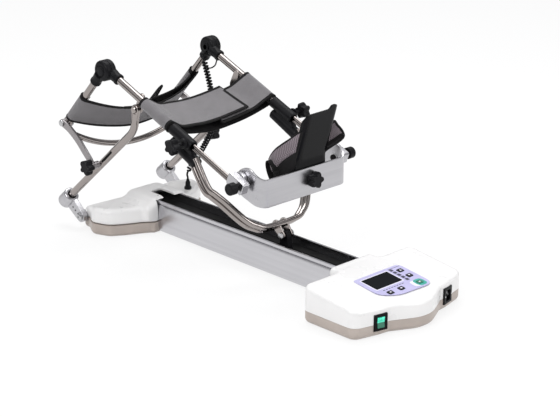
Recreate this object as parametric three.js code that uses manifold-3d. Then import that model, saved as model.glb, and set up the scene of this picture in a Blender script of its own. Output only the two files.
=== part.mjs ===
// Continuous passive motion machine for a knee: a floor rail with a carriage, a linkage that bends the leg,
// two slings, a foot holder and a control console. Millimetres, +Z up, +X towards the foot end,
// -Y the patient's right side. Side-view places are (x, z), with the floor at z = 0.
import * as THREE from "three";
import { ConvexGeometry } from "three/addons/geometries/ConvexGeometry.js";
import { mergeVertices } from "three/addons/utils/BufferGeometryUtils.js";
import Module from "manifold-3d";

const wasm = await Module();
wasm.setup();

// Clearances and shared sizes
const seatGap = 0.3;
const cutOverrun = 6;
const roundSides = 14;
const smallSides = 10;
const sides = [{ name: "right", sign: -1 }, { name: "left", sign: 1 }];

// Linkage places in side view
const hipPivot = { x: -435, z: 28 };
const leverTop = { x: -241, z: 310 };
const kneeAxis = { x: -329, z: 376 };
const linkFoot = { x: -359, z: 166 };
const linkHead = { x: -453, z: 240 };
const carriagePin = { x: 54, z: 83 };
const leverSlope = THREE.MathUtils.degToRad(41.5);
const shankSlope = THREE.MathUtils.degToRad(-21.9);

// Lateral places, measured from the middle plane
const shankPlane = 139;
const thighPlane = 151;
const linkPlane = 165;
const frameTubeRadius = 8;

// Base pieces
const rail = { back: -384, front: 268, halfWidth: 34, bottom: 3, top: 72, wall: 4, floor: 4, bulge: 2.5 };
const strip = { top: 53, thickness: 3, slotHalfWidth: 8.5, slotBack: -175, slotMargin: 22 };
const splitHeight = 25;
const shellWall = 3;
const rearBase = { front: -300, tail: 12, flare: 17.4, top: 60, edgeRound: 14 };
const saddle = { back: -404, half: 50, rise: 4.3, edgeRound: 18, slotHalf: 15, slotLength: 52 };
const desk = { insert: 36, length: 201, half: 153, top: 79, edgeRound: 12, slope: 0.124 };
const deskBack = rail.front - desk.insert;
const trayRound = 15;

// Moving members
const lever = { tubeOffset: 52, headOver: -12, headRadius: 17, headBack: -30, headFront: 6, plateThickness: 12 };
const hub = { radius: 22, gapHalf: 145, socketRadius: 11, socketLength: 40, axleRadius: 6 };
const bolt = { radius: 4, play: 3.5, boreRadius: 4.3, headRadius: 7, headLength: 4 };
const sling = { thickness: 3.5, ringRadius: 11, ringBore: 8.5, hangStart: 10 };
const thighSling = { start: 15, end: 92, sag: 42 };
const calfSling = { start: 122, end: 212, sag: 25 };
const clamp = { start: 217, end: 282, radius: 12, blockStart: 228, blockLength: 78, blockDepth: 41, half: 13, knobAlong: 267 };
const rods = { radius: 3.2, spacing: 3.7, start: 172, boreRadius: 7.3, boreStart: 120 };
const rodBlock = { behind: 32, ahead: 13, reach: 13, corner: 4, half: 9, bossBehind: 16, bossRadius: 17 };
const footPivot = { along: 428, up: 7 };
const uFrame = { tubeRadius: 6.3, spread: 7.6, bend: 16, socketRadius: 6.6, forkRadius: 11 };
const uTopPlace = { x: -70, z: 255 };
const uLowPlace = { x: 37.5, z: 100.8 };
const clevis = { inner: 8.5, thickness: 4, endRadius: 8 };
const footBracket = { play: 0.8, thickness: 4, ahead: 37.28, drop: 44.86, height: 56, earRadius: 32, bend: 22 };
const soleOffset = 19;
const sole = { thickness: 5, half: 42, foot: 22, bendUp: 70, leanUp: 175, top: 184, lean: 30.7 };
const bootie = { wall: 4, length: 86.1, half: 61, height: 133, cuffUp: 78 };
const starKnob = { radius: 15, lobes: 5, depth: 18, lobeShare: 0.16, round: 2 };
const screw = { axisHeight: 14, radius: 4.5, back: -196, beyondRail: 20, boreRadius: 4.8 };
const screwFront = rail.front + screw.beyondRail;

function finish(color, roughness, metalness) {
  return new THREE.MeshStandardMaterial({ color, roughness, metalness });
}
const whiteShell = finish(0xf1f0ee, 0.35, 0);
const taupeShell = finish(0xa89c94, 0.45, 0);
const chrome = finish(0x9a9290, 0.22, 1);
const satinMetal = finish(0xb9b9bd, 0.38, 1);
const castMetal = finish(0x85838a, 0.5, 0.8);
const blackPlastic = finish(0x17171a, 0.45, 0);
const meshFabric = finish(0x8c8890, 0.85, 0);
const lavenderPanel = finish(0xb9b6c6, 0.4, 0);
const darkGlass = finish(0x0b0d10, 0.1, 0);
const greenLens = finish(0x0f8f52, 0.3, 0);
const brassMetal = finish(0xb08d4a, 0.35, 1);
const steel = finish(0x9b9da1, 0.35, 1);
const boardGreen = finish(0x1f5c3a, 0.6, 0);

const machine = new THREE.Group();

function solid(geometry) {
  const bare = geometry.clone();
  bare.deleteAttribute("normal");
  bare.deleteAttribute("uv");
  const merged = mergeVertices(bare);
  const vertProperties = Float32Array.from(merged.attributes.position.array);
  const triVerts = Uint32Array.from(merged.index.array);
  return new wasm.Manifold(new wasm.Mesh({ numProp: 3, vertProperties, triVerts }));
}

function toGeometry(body) {
  const mesh = body.getMesh();
  const geometry = new THREE.BufferGeometry();
  geometry.setAttribute("position", new THREE.BufferAttribute(mesh.vertProperties, 3));
  geometry.setIndex(new THREE.BufferAttribute(mesh.triVerts, 1));
  return geometry;
}

function piece(parent, name, body, material) {
  const geometry = body instanceof THREE.BufferGeometry ? body : toGeometry(body);
  const mesh = new THREE.Mesh(geometry, material);
  mesh.name = name;
  parent.add(mesh);
  return mesh;
}

function join(...bodies) {
  return bodies.reduce((all, one) => all.add(one));
}

function block(x0, x1, y0, y1, z0, z1) {
  const box = new THREE.BoxGeometry(x1 - x0, y1 - y0, z1 - z0);
  return solid(box.translate((x0 + x1) / 2, (y0 + y1) / 2, (z0 + z1) / 2));
}

// A round bar between two places on one axis
function bar(radius, from, to, count = roundSides) {
  const a = new THREE.Vector3(...from);
  const b = new THREE.Vector3(...to);
  const geometry = new THREE.CylinderGeometry(radius, radius, a.distanceTo(b), count);
  const turn = new THREE.Quaternion().setFromUnitVectors(new THREE.Vector3(0, 1, 0), b.clone().sub(a).normalize());
  geometry.applyQuaternion(turn);
  const middle = a.add(b).multiplyScalar(0.5);
  return solid(geometry.translate(middle.x, middle.y, middle.z));
}

function circle(radius, count = smallSides) {
  const points = Array.from({ length: count }, (_, i) => {
    const angle = (i / count) * 2 * Math.PI;
    return new THREE.Vector2(radius * Math.cos(angle), radius * Math.sin(angle));
  });
  return new THREE.Shape(points);
}

// A tube through corners whose bends are rounded
function bentTube(corners, radius, bend, steps, count = smallSides) {
  const places = corners.map((c) => new THREE.Vector3(...c));
  const route = [places[0]];
  for (let i = 1; i < places.length - 1; i += 1) {
    const before = places[i - 1].clone().sub(places[i]);
    const after = places[i + 1].clone().sub(places[i]);
    const reach = Math.min(bend, before.length() / 2.2, after.length() / 2.2);
    const start = places[i].clone().addScaledVector(before.normalize(), reach);
    const end = places[i].clone().addScaledVector(after.normalize(), reach);
    const arc = new THREE.QuadraticBezierCurve3(start, places[i], end);
    route.push(...arc.getPoints(3));
  }
  route.push(places.at(-1));
  const extrudePath = new THREE.CatmullRomCurve3(route, false, "centripetal");
  return solid(new THREE.ExtrudeGeometry(circle(radius, count), { steps, bevelEnabled: false, extrudePath }));
}

// A side-view outline (x, z) made into a plate between two lateral planes
function sidePlate(shape, y0, y1, curveSegments = 5) {
  const low = Math.min(y0, y1);
  const depth = Math.abs(y1 - y0);
  const geometry = new THREE.ExtrudeGeometry(shape, { depth, bevelEnabled: false, curveSegments });
  return solid(geometry.rotateX(Math.PI / 2).translate(0, low + depth, 0));
}

// A plate with round ends that joins two side-view places
function lugShape(a, b, radiusA, radiusB = radiusA, count = 5) {
  const turn = Math.atan2(b.z - a.z, b.x - a.x);
  const points = [];
  for (let i = 0; i <= count; i += 1) {
    const angle = turn + Math.PI / 2 + (i / count) * Math.PI;
    points.push(new THREE.Vector2(a.x + radiusA * Math.cos(angle), a.z + radiusA * Math.sin(angle)));
  }
  for (let i = 0; i <= count; i += 1) {
    const angle = turn - Math.PI / 2 + (i / count) * Math.PI;
    points.push(new THREE.Vector2(b.x + radiusB * Math.cos(angle), b.z + radiusB * Math.sin(angle)));
  }
  return new THREE.Shape(points);
}

function outlineShape(points) {
  return new THREE.Shape(points.map(([x, y]) => new THREE.Vector2(x, y)));
}

// A frame whose +X runs along a member: a group placed at a side-view place and turned to a slope
function memberGroup(origin, slope) {
  const group = new THREE.Group();
  group.position.set(origin.x, 0, origin.z);
  group.rotation.y = -slope;
  machine.add(group);
  return group;
}

function toMember(place, origin, slope) {
  const dx = place.x - origin.x;
  const dz = place.z - origin.z;
  return {
    x: dx * Math.cos(slope) + dz * Math.sin(slope),
    z: -dx * Math.sin(slope) + dz * Math.cos(slope),
  };
}

function fromMember({ x, z }, origin, slope) {
  return {
    x: origin.x + x * Math.cos(slope) - z * Math.sin(slope),
    z: origin.z + x * Math.sin(slope) + z * Math.cos(slope),
  };
}

// The outline of a convex plan after every edge has moved inwards by a distance
function insetConvex(outline, distance) {
  return outline.reduce((kept, [ax, ay], i) => {
    const [bx, by] = outline[(i + 1) % outline.length];
    const length = Math.hypot(bx - ax, by - ay);
    const inside = ([x, y]) => ((bx - ax) * (y - ay) - (by - ay) * (x - ax)) / length - distance;
    return kept.flatMap((p, k) => {
      const q = kept[(k + 1) % kept.length];
      const [dp, dq] = [inside(p), inside(q)];
      const cross = () => [0, 1].map((n) => p[n] + (q[n] - p[n]) * dp / (dp - dq));
      const start = dp >= 0 ? [p] : [];
      return (dp >= 0) === (dq >= 0) ? start : [...start, cross()];
    });
  }, outline);
}

// A convex plan outline raised to a slab with one rounded rim; heights may follow a share along x
function roundedSlab(outline, low, high, round, inset = 0, heightShare = () => 1) {
  const levels = [{ shrink: inset, z: low }];
  const rimSteps = 2;
  for (let i = 0; i <= rimSteps; i += 1) {
    const angle = (i / rimSteps) * Math.PI / 2;
    levels.push({ shrink: inset + round * (1 - Math.cos(angle)), z: high - round + round * Math.sin(angle) });
  }
  const places = levels.flatMap(({ shrink, z }) => insetConvex(outline, shrink)
    .map(([x, y]) => new THREE.Vector3(x, y, low + (z - low) * heightShare(x))));
  return solid(new ConvexGeometry(places));
}

function mirroredOutline(points) {
  return points.map(([x, y]) => [x, -y]).reverse();
}

// A section (y, z) made into a bar along +X
function lengthBar(shape, x0, x1, curveSegments = 5) {
  const geometry = new THREE.ExtrudeGeometry(shape, { depth: x1 - x0, bevelEnabled: false, curveSegments });
  const turn = new THREE.Matrix4().makeBasis(
    new THREE.Vector3(0, 1, 0), new THREE.Vector3(0, 0, 1), new THREE.Vector3(1, 0, 0));
  return solid(geometry.applyMatrix4(turn).translate(x0, 0, 0));
}

function mirroredShape(rightPoints) {
  const left = [...rightPoints].reverse().map(([y, z]) => [-y, z]);
  return new THREE.Shape([...rightPoints, ...left].map(([y, z]) => new THREE.Vector2(y, z)));
}

// Rail: an open channel with a grooved lip, a rounded flank and a ledge for the slot strip
const railInner = rail.halfWidth - rail.wall;
const stripBottom = strip.top - strip.thickness;
const railLedge = { reach: 3, depth: 4 };
const railLip = { groove: 2, grooveLow: 9, grooveHigh: 5 };
function makeRail() {
  const outer = rail.halfWidth;
  const low = rail.bottom;
  const high = rail.top;
  const floorTop = low + rail.floor;
  const ledgeTop = stripBottom - seatGap;
  const flank = [[outer - railLedge.reach, low], [outer, low + rail.floor]];
  const flankHigh = high - railLip.grooveLow;
  const count = 5;
  for (let i = 1; i < count; i += 1) {
    const share = i / count;
    const z = low + rail.floor + share * (flankHigh - low - rail.floor);
    flank.push([outer + rail.bulge * Math.sin(Math.PI * share), z]);
  }
  const points = [
    ...flank,
    [outer, flankHigh],
    [outer - railLip.groove, flankHigh],
    [outer - railLip.groove, high - railLip.grooveHigh],
    [outer, high - railLip.grooveHigh],
    [outer, high],
    [railInner, high],
    [railInner, ledgeTop],
    [railInner - railLedge.reach, ledgeTop],
    [railInner - railLedge.reach, ledgeTop - railLedge.depth],
    [railInner, ledgeTop - railLedge.depth],
    [railInner, floorTop],
  ];
  return lengthBar(mirroredShape(points), rail.back, rail.front);
}
function railEnvelope(above = cutOverrun) {
  const reach = rail.halfWidth + rail.bulge + seatGap;
  const back = rail.back - seatGap;
  const front = rail.front + seatGap;
  return block(back, front, -reach, reach, rail.bottom - seatGap, rail.top + above);
}
piece(machine, "rail", makeRail(), satinMetal);

const stripHalf = railInner - seatGap;
const stripPlate = block(rail.back, rail.front, -stripHalf, stripHalf, stripBottom, strip.top);
const stripSlot = block(strip.slotBack, rail.front - strip.slotMargin, -strip.slotHalfWidth, strip.slotHalfWidth,
  stripBottom - cutOverrun, strip.top + cutOverrun);
piece(machine, "rail_slot_strip", stripPlate.subtract(stripSlot), blackPlastic);

// Rear base: a boomerang of two lobes, with an ear at each end that carries the hip pivot
const rearEndShares = [
  [1.0, 0.8151], [0.9728, 0.8767], [0.7619, 0.8767], [0.6463, 0.7534], [0.6803, 0.274],
  [0.7415, 0.3288],
];
const rearLobeShares = [
  [0.7347, 0.274], [0.898, 0.8356], [0.6054, 1.0], [0.4694, 0.9726], [0.3401, 0.8973],
  [0.2177, 0.7123], [0.1293, 0.5137], [0.0408, 0.274],
];
const rearMiddleShares = [[0.7211, 0.3836], [0.0544, 0.3836], [0, 0.3151]];
const ear = { radius: 11, inner: 96, boreRadius: 5.3, face: 128.6 };
const rearLength = rearBase.front - hipPivot.x + rearBase.tail;
const rearHalf = ear.face + rearBase.flare;
// A plan's right half from shares: behind the base's front end, and out from the middle plane
function rearPlan(shares) {
  return shares.map(([behind, out]) => [rearBase.front - behind * rearLength, -out * rearHalf]);
}
const [rearEnd, rearLobe, middleHalf] = [rearEndShares, rearLobeShares, rearMiddleShares].map(rearPlan);
const rearMiddle = [...middleHalf, ...mirroredOutline(middleHalf)];
const rearOutlines = [rearEnd, rearLobe, rearMiddle, mirroredOutline(rearEnd), mirroredOutline(rearLobe)];
function earBars(radius, grow = 0) {
  return join(...sides.map(({ sign }) => {
    const from = [hipPivot.x, sign * (ear.inner - grow), hipPivot.z];
    const to = [hipPivot.x, sign * (ear.face + grow), hipPivot.z];
    return bar(radius, from, to);
  }));
}
const innerRound = trayRound - shellWall;
// The room inside a rounded slab, open below
function insetSlab(outline, low, high) {
  return roundedSlab(outline, low, high, saddle.edgeRound - shellWall, shellWall);
}
const saddlePlan = [
  [saddle.back, -saddle.half], [rearBase.front, -saddle.half], [rearBase.front, saddle.half], [saddle.back, saddle.half],
];
function makeTray(outlines) {
  const top = splitHeight - seatGap / 2;
  const outer = outlines.map((outline) => roundedSlab(outline, -top, 0, trayRound));
  const inner = outlines.map((outline) => roundedSlab(outline, -top - cutOverrun, -shellWall, innerRound, shellWall));
  return join(...outer).subtract(join(...inner)).mirror([0, 0, 1]);
}
function makeCover(outlines, high, round, heightShare) {
  const low = splitHeight + seatGap / 2;
  const outer = outlines.map((outline) => roundedSlab(outline, low, high, round, 0, heightShare));
  const inner = outlines.map((outline) => roundedSlab(
    outline, low, high - shellWall, round - shellWall, shellWall, heightShare));
  const mouth = outlines.map((outline) => roundedSlab(outline, low - cutOverrun, low + round, 0, shellWall));
  return join(...outer).subtract(join(...inner, ...mouth));
}
const railCut = railEnvelope();
const rearTray = makeTray(rearOutlines).add(earBars(ear.radius));
piece(machine, "rear_base_tray", rearTray.subtract(railCut.add(earBars(ear.boreRadius, cutOverrun))), taupeShell);
const saddleTop = rail.top + saddle.rise;
const saddleCore = roundedSlab(saddlePlan, splitHeight + seatGap / 2, saddleTop, saddle.edgeRound);
const saddleSlot = block(rearBase.front - saddle.slotLength, rearBase.front + cutOverrun, -saddle.slotHalf, saddle.slotHalf,
  rail.top, saddleTop + cutOverrun);
const saddleHollow = insetSlab(saddlePlan, splitHeight - cutOverrun, saddleTop - shellWall);
const rearCover = makeCover(rearOutlines, rearBase.top, rearBase.edgeRound).add(saddleCore.subtract(saddleHollow));
const earCut = earBars(ear.radius + seatGap, seatGap + cutOverrun);
const tunnel = railEnvelope(seatGap).add(railEnvelope(seatGap).translate([rail.halfWidth, 0, 0]));
piece(machine, "rear_base_cover", rearCover.subtract(join(tunnel, saddleSlot, earCut)), whiteShell);

const pivotPin = { radius: 5, inner: 104, head: 9, headLength: 4, washer: 13 };
const bracketInner = ear.face + 2 * seatGap + 2.4;
const bracketOuter = bracketInner + lever.plateThickness;
for (const { name, sign } of sides) {
  const at = (y) => [hipPivot.x, sign * y, hipPivot.z];
  const shaft = bar(pivotPin.radius, at(pivotPin.inner), at(bracketOuter + seatGap + pivotPin.headLength));
  const head = bar(pivotPin.head, at(bracketOuter + seatGap), at(bracketOuter + seatGap + pivotPin.headLength));
  const washer = bar(pivotPin.washer, at(ear.face + seatGap), at(bracketInner - seatGap));
  piece(machine, `${name}_pivot_pin`, join(shaft, head, washer), steel);
}

// Carriage: a slider inside the rail whose lug rises through the slot, and a nut that pulls it by two posts
const slider = { half: 40, halfWidth: 26, low: 40, high: 47.5, lugHalf: 12, lugThickness: 6, lugRound: 9, lugWaist: 62 };
const yoke = { inner: 12, outer: 17, half: 3, top: 46, windowHalf: 33, windowGap: 1.5 };
const nut = { half: 14, halfWidth: 20, low: 8, high: 19.5 };
const pinX = carriagePin.x;
const sliderPlate = block(pinX - slider.half, pinX + slider.half, -slider.halfWidth, slider.halfWidth,
  slider.low, slider.high);
const lugFoot = block(pinX - slider.lugHalf, pinX + slider.lugHalf, -slider.lugThickness, slider.lugThickness,
  slider.low, slider.lugWaist);
const lugNeck = { x: pinX, z: slider.lugWaist };
const lugTop = sidePlate(lugShape(lugNeck, carriagePin, slider.lugHalf, slider.lugRound),
  -slider.lugThickness, slider.lugThickness);
const windows = join(...sides.map(({ sign }) => {
  const near = sign * (yoke.inner - yoke.windowGap);
  const far = sign * (yoke.outer + yoke.windowGap);
  return block(pinX - yoke.windowHalf, pinX + yoke.windowHalf, Math.min(near, far), Math.max(near, far),
    slider.low - cutOverrun, slider.high + cutOverrun);
}));
function across(radius, place, y0, y1, count = roundSides) {
  return bar(radius, [place.x, y0, place.z], [place.x, y1, place.z], count);
}
const lugBore = across(bolt.boreRadius, carriagePin, -slider.lugHalf, slider.lugHalf, smallSides);
const sliderBody = join(sliderPlate, lugFoot, lugTop).subtract(join(windows, lugBore));
piece(machine, "carriage_slider", sliderBody, blackPlastic);

const posts = join(...sides.map(({ sign }) => {
  const near = sign * yoke.inner;
  const far = sign * yoke.outer;
  return block(pinX - yoke.half, pinX + yoke.half, Math.min(near, far), Math.max(near, far),
    screw.axisHeight, yoke.top);
}));
const nutBlock = block(pinX - nut.half, pinX + nut.half, -nut.halfWidth, nut.halfWidth, nut.low, nut.high);
function screwLine(radius, x0, x1) {
  return bar(radius, [x0, 0, screw.axisHeight], [x1, 0, screw.axisHeight], smallSides);
}
const nutBore = screwLine(screw.boreRadius, pinX - nut.half - cutOverrun, pinX + nut.half + cutOverrun);
piece(machine, "lead_nut", nutBlock.add(posts).subtract(nutBore), brassMetal);

const forkOuter = clevis.inner + clevis.thickness;
const pinHead = forkOuter + seatGap;
const pinEnd = pinHead + bolt.headLength;
const pinShaft = across(bolt.radius, carriagePin, -pinEnd, pinEnd, smallSides);
const pinHeads = sides.map(({ sign }) => across(bolt.headRadius, carriagePin, sign * pinHead, sign * pinEnd));
piece(machine, "carriage_pin", join(pinShaft, ...pinHeads), steel);

piece(machine, "lead_screw", screwLine(screw.radius, screw.back, screwFront), steel);
const bearing = { half: 8, halfWidth: 14, low: 7.3, high: 28 };
const bearingBlock = block(screw.back - bearing.half, screw.back + bearing.half, -bearing.halfWidth, bearing.halfWidth,
  bearing.low, bearing.high);
const bearingBore = screwLine(screw.boreRadius, screw.back - seatGap, screw.back + bearing.half + cutOverrun);
piece(machine, "rear_bearing_block", bearingBlock.subtract(bearingBore), castMetal);

// Knobs: five rounded lobes on a stem
function starShape() {
  const count = starKnob.lobes * 4;
  const points = Array.from({ length: count }, (_, i) => {
    const angle = (i / count) * 2 * Math.PI;
    const dip = starKnob.lobeShare * (1 - Math.cos(starKnob.lobes * angle)) / 2;
    const reach = starKnob.radius * (1 - dip);
    return new THREE.Vector2(reach * Math.cos(angle), reach * Math.sin(angle));
  });
  return new THREE.Shape(points);
}
function starHead() {
  const depth = starKnob.depth - 2 * starKnob.round;
  const geometry = new THREE.ExtrudeGeometry(starShape(), {
    depth, bevelEnabled: true, bevelThickness: starKnob.round, bevelSize: starKnob.round,
    bevelOffset: -starKnob.round, bevelSegments: 1,
  });
  return solid(geometry.translate(0, 0, starKnob.round));
}
// A star knob at a lateral place, facing outwards, with a threaded stem that reaches inwards
function lateralKnob(place, sign, face, stemInner) {
  const head = starHead().rotate([90 * -sign, 0, 0]).translate([place.x, sign * face, place.z]);
  const stem = across(bolt.radius, place, sign * stemInner, sign * (face + starKnob.round), smallSides);
  return head.add(stem);
}

// Lever: one on each side, turning about the hip pivot and driving the knee
const leverFrame = memberGroup(hipPivot, leverSlope);
const leverHead = { x: lever.headOver, z: lever.tubeOffset };
const leverEnd = toMember(leverTop, hipPivot, leverSlope);
const linkBolt = toMember(linkFoot, hipPivot, leverSlope);
const hipEnd = { x: 0, z: 0 };
const bracket = { hipRadius: 13, headRound: 15, holeRadius: 1.8, holeShares: [0.34, 0.52, 0.7] };
const driveTube = { start: -23.5, boreStart: -24, bend: 294, end: 323, endUp: 74.5, radius: 45 };
const driveLug = { inner: 134.6, outer: 143.4, start: 312, startUp: 67, radius: 10 };
for (const { name, sign } of sides) {
  const plane = sign * shankPlane;
  const plate = sidePlate(lugShape(hipEnd, leverHead, bracket.hipRadius, bracket.headRound),
    sign * bracketInner, sign * bracketOuter);
  const head = bar(lever.headRadius, [lever.headBack, plane, lever.tubeOffset],
    [lever.headFront, plane, lever.tubeOffset]);
  const socket = bar(frameTubeRadius + seatGap, [driveTube.boreStart, plane, lever.tubeOffset],
    [lever.headFront + cutOverrun, plane, lever.tubeOffset]);
  const hipBore = across(ear.boreRadius, hipEnd, sign * (bracketInner - cutOverrun), sign * (bracketOuter + cutOverrun));
  const holes = bracket.holeShares.map((share) => {
    const place = { x: share * leverHead.x, z: share * leverHead.z };
    return across(bracket.holeRadius, place, sign * (bracketInner - cutOverrun),
      sign * (bracketOuter + cutOverrun), smallSides);
  });
  piece(leverFrame, `${name}_pivot_bracket`, plate.add(head).subtract(join(socket, hipBore, ...holes)), satinMetal);

  const tube = bentTube([
    [driveTube.start, plane, lever.tubeOffset],
    [driveTube.bend, plane, lever.tubeOffset],
    [driveTube.end, plane, driveTube.endUp],
  ], frameTubeRadius, driveTube.radius, 12, roundSides);
  const lugStart = { x: driveLug.start, z: driveLug.startUp };
  const lug = sidePlate(lugShape(lugStart, leverEnd, driveLug.radius), sign * driveLug.inner, sign * driveLug.outer);
  const kneeBore = across(bolt.boreRadius, leverEnd, sign * (driveLug.inner - cutOverrun),
    sign * (driveLug.outer + cutOverrun));
  const linkBore = across(bolt.boreRadius, linkBolt, plane, sign * (linkPlane + cutOverrun));
  piece(leverFrame, `${name}_drive_tube`, tube.add(lug).subtract(join(kneeBore, linkBore)), chrome);
}

// Link: a curved strap from the lever up to the foot of the thigh tube
const link = { half: 8, inner: 162.4, outer: 168, bossRadius: 8, bossInner: 147.5, knobGap: 0.3, headInner: 154.3 };
// The strap's bends, as shares along the line from its head to its foot and off that line
const linkBendShares = [[0.1976, 0.0598], [0.4563, 0.0826], [0.7042, 0.065], [0.9103, 0.0464]];
const linkRun = { x: linkFoot.x - linkHead.x, z: linkFoot.z - linkHead.z };
const linkBends = [linkHead, ...linkBendShares.map(([along, off]) => ({
  x: linkHead.x + along * linkRun.x - off * linkRun.z,
  z: linkHead.z + along * linkRun.z + off * linkRun.x,
})), linkFoot];
const thighEye = { inner: 148, outer: 154, radius: 12, holeRadius: bolt.radius + bolt.play };
const headNut = { outer: 147.6, inner: 144.4, radius: 11.5 };
for (const { name, sign } of sides) {
  const straps = linkBends.slice(1).map((place, i) => sidePlate(
    lugShape(linkBends[i], place, link.half), sign * link.inner, sign * link.outer));
  const boss = across(link.bossRadius, linkFoot, sign * link.bossInner, sign * link.outer);
  const footBore = across(bolt.boreRadius, linkFoot, sign * (link.bossInner - cutOverrun),
    sign * (link.outer + cutOverrun));
  const headBoss = across(link.bossRadius, linkHead, sign * link.headInner, sign * link.outer);
  const headBolt = across(bolt.radius, linkHead, sign * headNut.inner, sign * link.outer);
  const headWasher = across(headNut.radius, linkHead, sign * headNut.inner, sign * headNut.outer);
  const headCap = across(bolt.headRadius, linkHead, sign * link.outer, sign * (link.outer + bolt.headLength));
  piece(machine, `${name}_link`, join(...straps, boss, headBoss, headBolt, headWasher, headCap).subtract(footBore), satinMetal);
  const stemInner = shankPlane + seatGap;
  piece(machine, `${name}_link_knob`, lateralKnob(linkFoot, sign, link.outer + link.knobGap, stemInner), blackPlastic);
}

const arch = { x: -414, z: 221, lowX: -412, lowZ: 176, radius: 6.5, steps: 12, reach: 168 };
function makeArch() {
  const drop = arch.z - arch.lowZ;
  const half = link.inner - seatGap;
  const bow = (half * half + drop * drop) / (2 * drop);
  const places = [];
  for (let i = 0; i <= arch.steps; i += 1) {
    const y = arch.reach * (2 * i / arch.steps - 1);
    const rise = bow - Math.sqrt(bow * bow - y * y);
    const share = rise / drop;
    places.push(new THREE.Vector3(arch.lowX + share * (arch.x - arch.lowX), y, arch.lowZ + rise));
  }
  const extrudePath = new THREE.CatmullRomCurve3(places, false, "centripetal");
  const settings = { steps: 2 * arch.steps, bevelEnabled: false, extrudePath };
  const rod = solid(new THREE.ExtrudeGeometry(circle(arch.radius, smallSides), settings));
  return rod.trimByPlane([0, 1, 0], -half).trimByPlane([0, -1, 0], -half);
}
piece(machine, "cross_arch", makeArch(), chrome);

// Thigh frame: two tubes from the links to the outer halves of the knee hubs, with a sling between them
const thighSlope = Math.atan2(kneeAxis.z - linkHead.z, kneeAxis.x - linkHead.x);
const thighFrame = memberGroup(linkHead, thighSlope);
const thighKnee = toMember(kneeAxis, linkHead, thighSlope);
const hubParts = { innerFace: 131.5, outerFace: 158.5, clear: 24, start: 14, tubeGap: 23, capRadius: 10, cap: 2.5 };
const eyeEnd = { x: 0, z: 0 };
const thighTube = { start: 12.5, eyeReach: 6 };
for (const { name, sign } of sides) {
  const plane = sign * thighPlane;
  const eyeTo = { x: thighTube.eyeReach, z: 0 };
  const eye = sidePlate(lugShape(eyeEnd, eyeTo, thighEye.radius, frameTubeRadius), sign * thighEye.inner,
    sign * thighEye.outer);
  const tubeEnd = thighKnee.x - hubParts.tubeGap;
  const tube = bar(frameTubeRadius, [thighTube.start, plane, 0], [tubeEnd, plane, 0]);
  const hole = across(thighEye.holeRadius, eyeEnd, sign * (thighEye.inner - cutOverrun),
    sign * (thighEye.outer + cutOverrun));
  piece(thighFrame, `${name}_thigh_tube`, tube.add(eye).subtract(hole), chrome);

  const inner = sign * (hub.gapHalf + seatGap);
  const disc = across(hub.radius, thighKnee, inner, sign * hubParts.outerFace, 20);
  const face = across(hub.socketRadius, thighKnee, sign * hubParts.outerFace, sign * (hubParts.outerFace + hubParts.cap));
  const socketStart = thighKnee.x - hub.socketLength;
  const socket = bar(hub.socketRadius, [socketStart, plane, 0], [thighKnee.x - hubParts.start, plane, 0]);
  const clearZone = block(thighKnee.x - hubParts.clear, thighKnee.x, Math.min(0, inner), Math.max(0, inner),
    -hub.radius, hub.radius);
  const bore = bar(frameTubeRadius + seatGap, [socketStart - cutOverrun, plane, 0], [tubeEnd + seatGap, plane, 0]);
  const axleEnd = hubParts.innerFace - seatGap;
  const axle = across(hub.axleRadius, thighKnee, sign * axleEnd, sign * hubParts.outerFace);
  const cap = across(hubParts.capRadius, thighKnee, sign * axleEnd, sign * (axleEnd - hubParts.cap));
  const body = join(disc, face, socket.subtract(clearZone), axle, cap).subtract(bore);
  piece(thighFrame, `${name}_knee_hub_outer`, body, blackPlastic);
}

// A sling section (y, z): a ring round each tube and a band hanging between them
function slingBody(plane, { start, end, sag }) {
  const count = 20;
  const half = plane - sling.thickness;
  const outer = [];
  const inner = [];
  for (let i = 0; i <= count; i += 1) {
    const y = half * (2 * i / count - 1);
    const slope = 2 * sag * y / (half * half);
    const length = Math.hypot(1, slope);
    const z = -sling.hangStart - sag * (1 - (y / half) ** 2);
    const reach = sling.thickness / 2;
    outer.push(new THREE.Vector2(y + slope / length * reach, z - reach / length));
    inner.push(new THREE.Vector2(y - slope / length * reach, z + reach / length));
  }
  const band = lengthBar(new THREE.Shape([...outer, ...inner.reverse()]), start, end);
  const rings = sides.map(({ sign }) => bar(sling.ringRadius, [start, sign * plane, 0], [end, sign * plane, 0]));
  const bores = sides.map(({ sign }) => bar(sling.ringBore, [start - cutOverrun, sign * plane, 0],
    [end + cutOverrun, sign * plane, 0]));
  return join(band, ...rings).subtract(join(...bores));
}
piece(thighFrame, "thigh_sling", slingBody(thighPlane, thighSling), meshFabric);

// Shank frame: the inner halves of the knee hubs, two tubes, a sling and the U frame down to the carriage
const shankFrame = memberGroup(kneeAxis, shankSlope);
const shankTop = toMember(leverTop, kneeAxis, shankSlope);
const knobAt = { x: clamp.knobAlong, z: 0 };
const shankTube = { start: 23, end: 276, boreEnd: 282 };
const kneePlate = { inner: 128.5, outer: 134, radius: 10, tubeRadius: 8, boltInner: 131, headInner: 143.9 };
const knobFace = { y: 172, stemInner: 148 };
const clampShares = [[0.0, 0.0976], [0.0, 0.7317], [0.1795, 0.9268], [0.7949, 1.0], [1.0, 0.8049], [1.0, 0.2683], [0.6282, 0.2683], [0.6282, 0.0976]];
const clampOutline = clampShares.map(([along, down]) => [
  clamp.blockStart + along * clamp.blockLength, -down * clamp.blockDepth]);

// U frame: two parallel rods bent in one plane, joined by a fork that carries the carriage pin
const uTop = toMember(uTopPlace, kneeAxis, shankSlope);
const uLow = toMember(uLowPlace, kneeAxis, shankSlope);
const uLength = Math.hypot(uLow.x - uTop.x, uLow.z - uTop.z);
const uAlong = { x: (uLow.x - uTop.x) / uLength, z: (uLow.z - uTop.z) / uLength };
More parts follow.
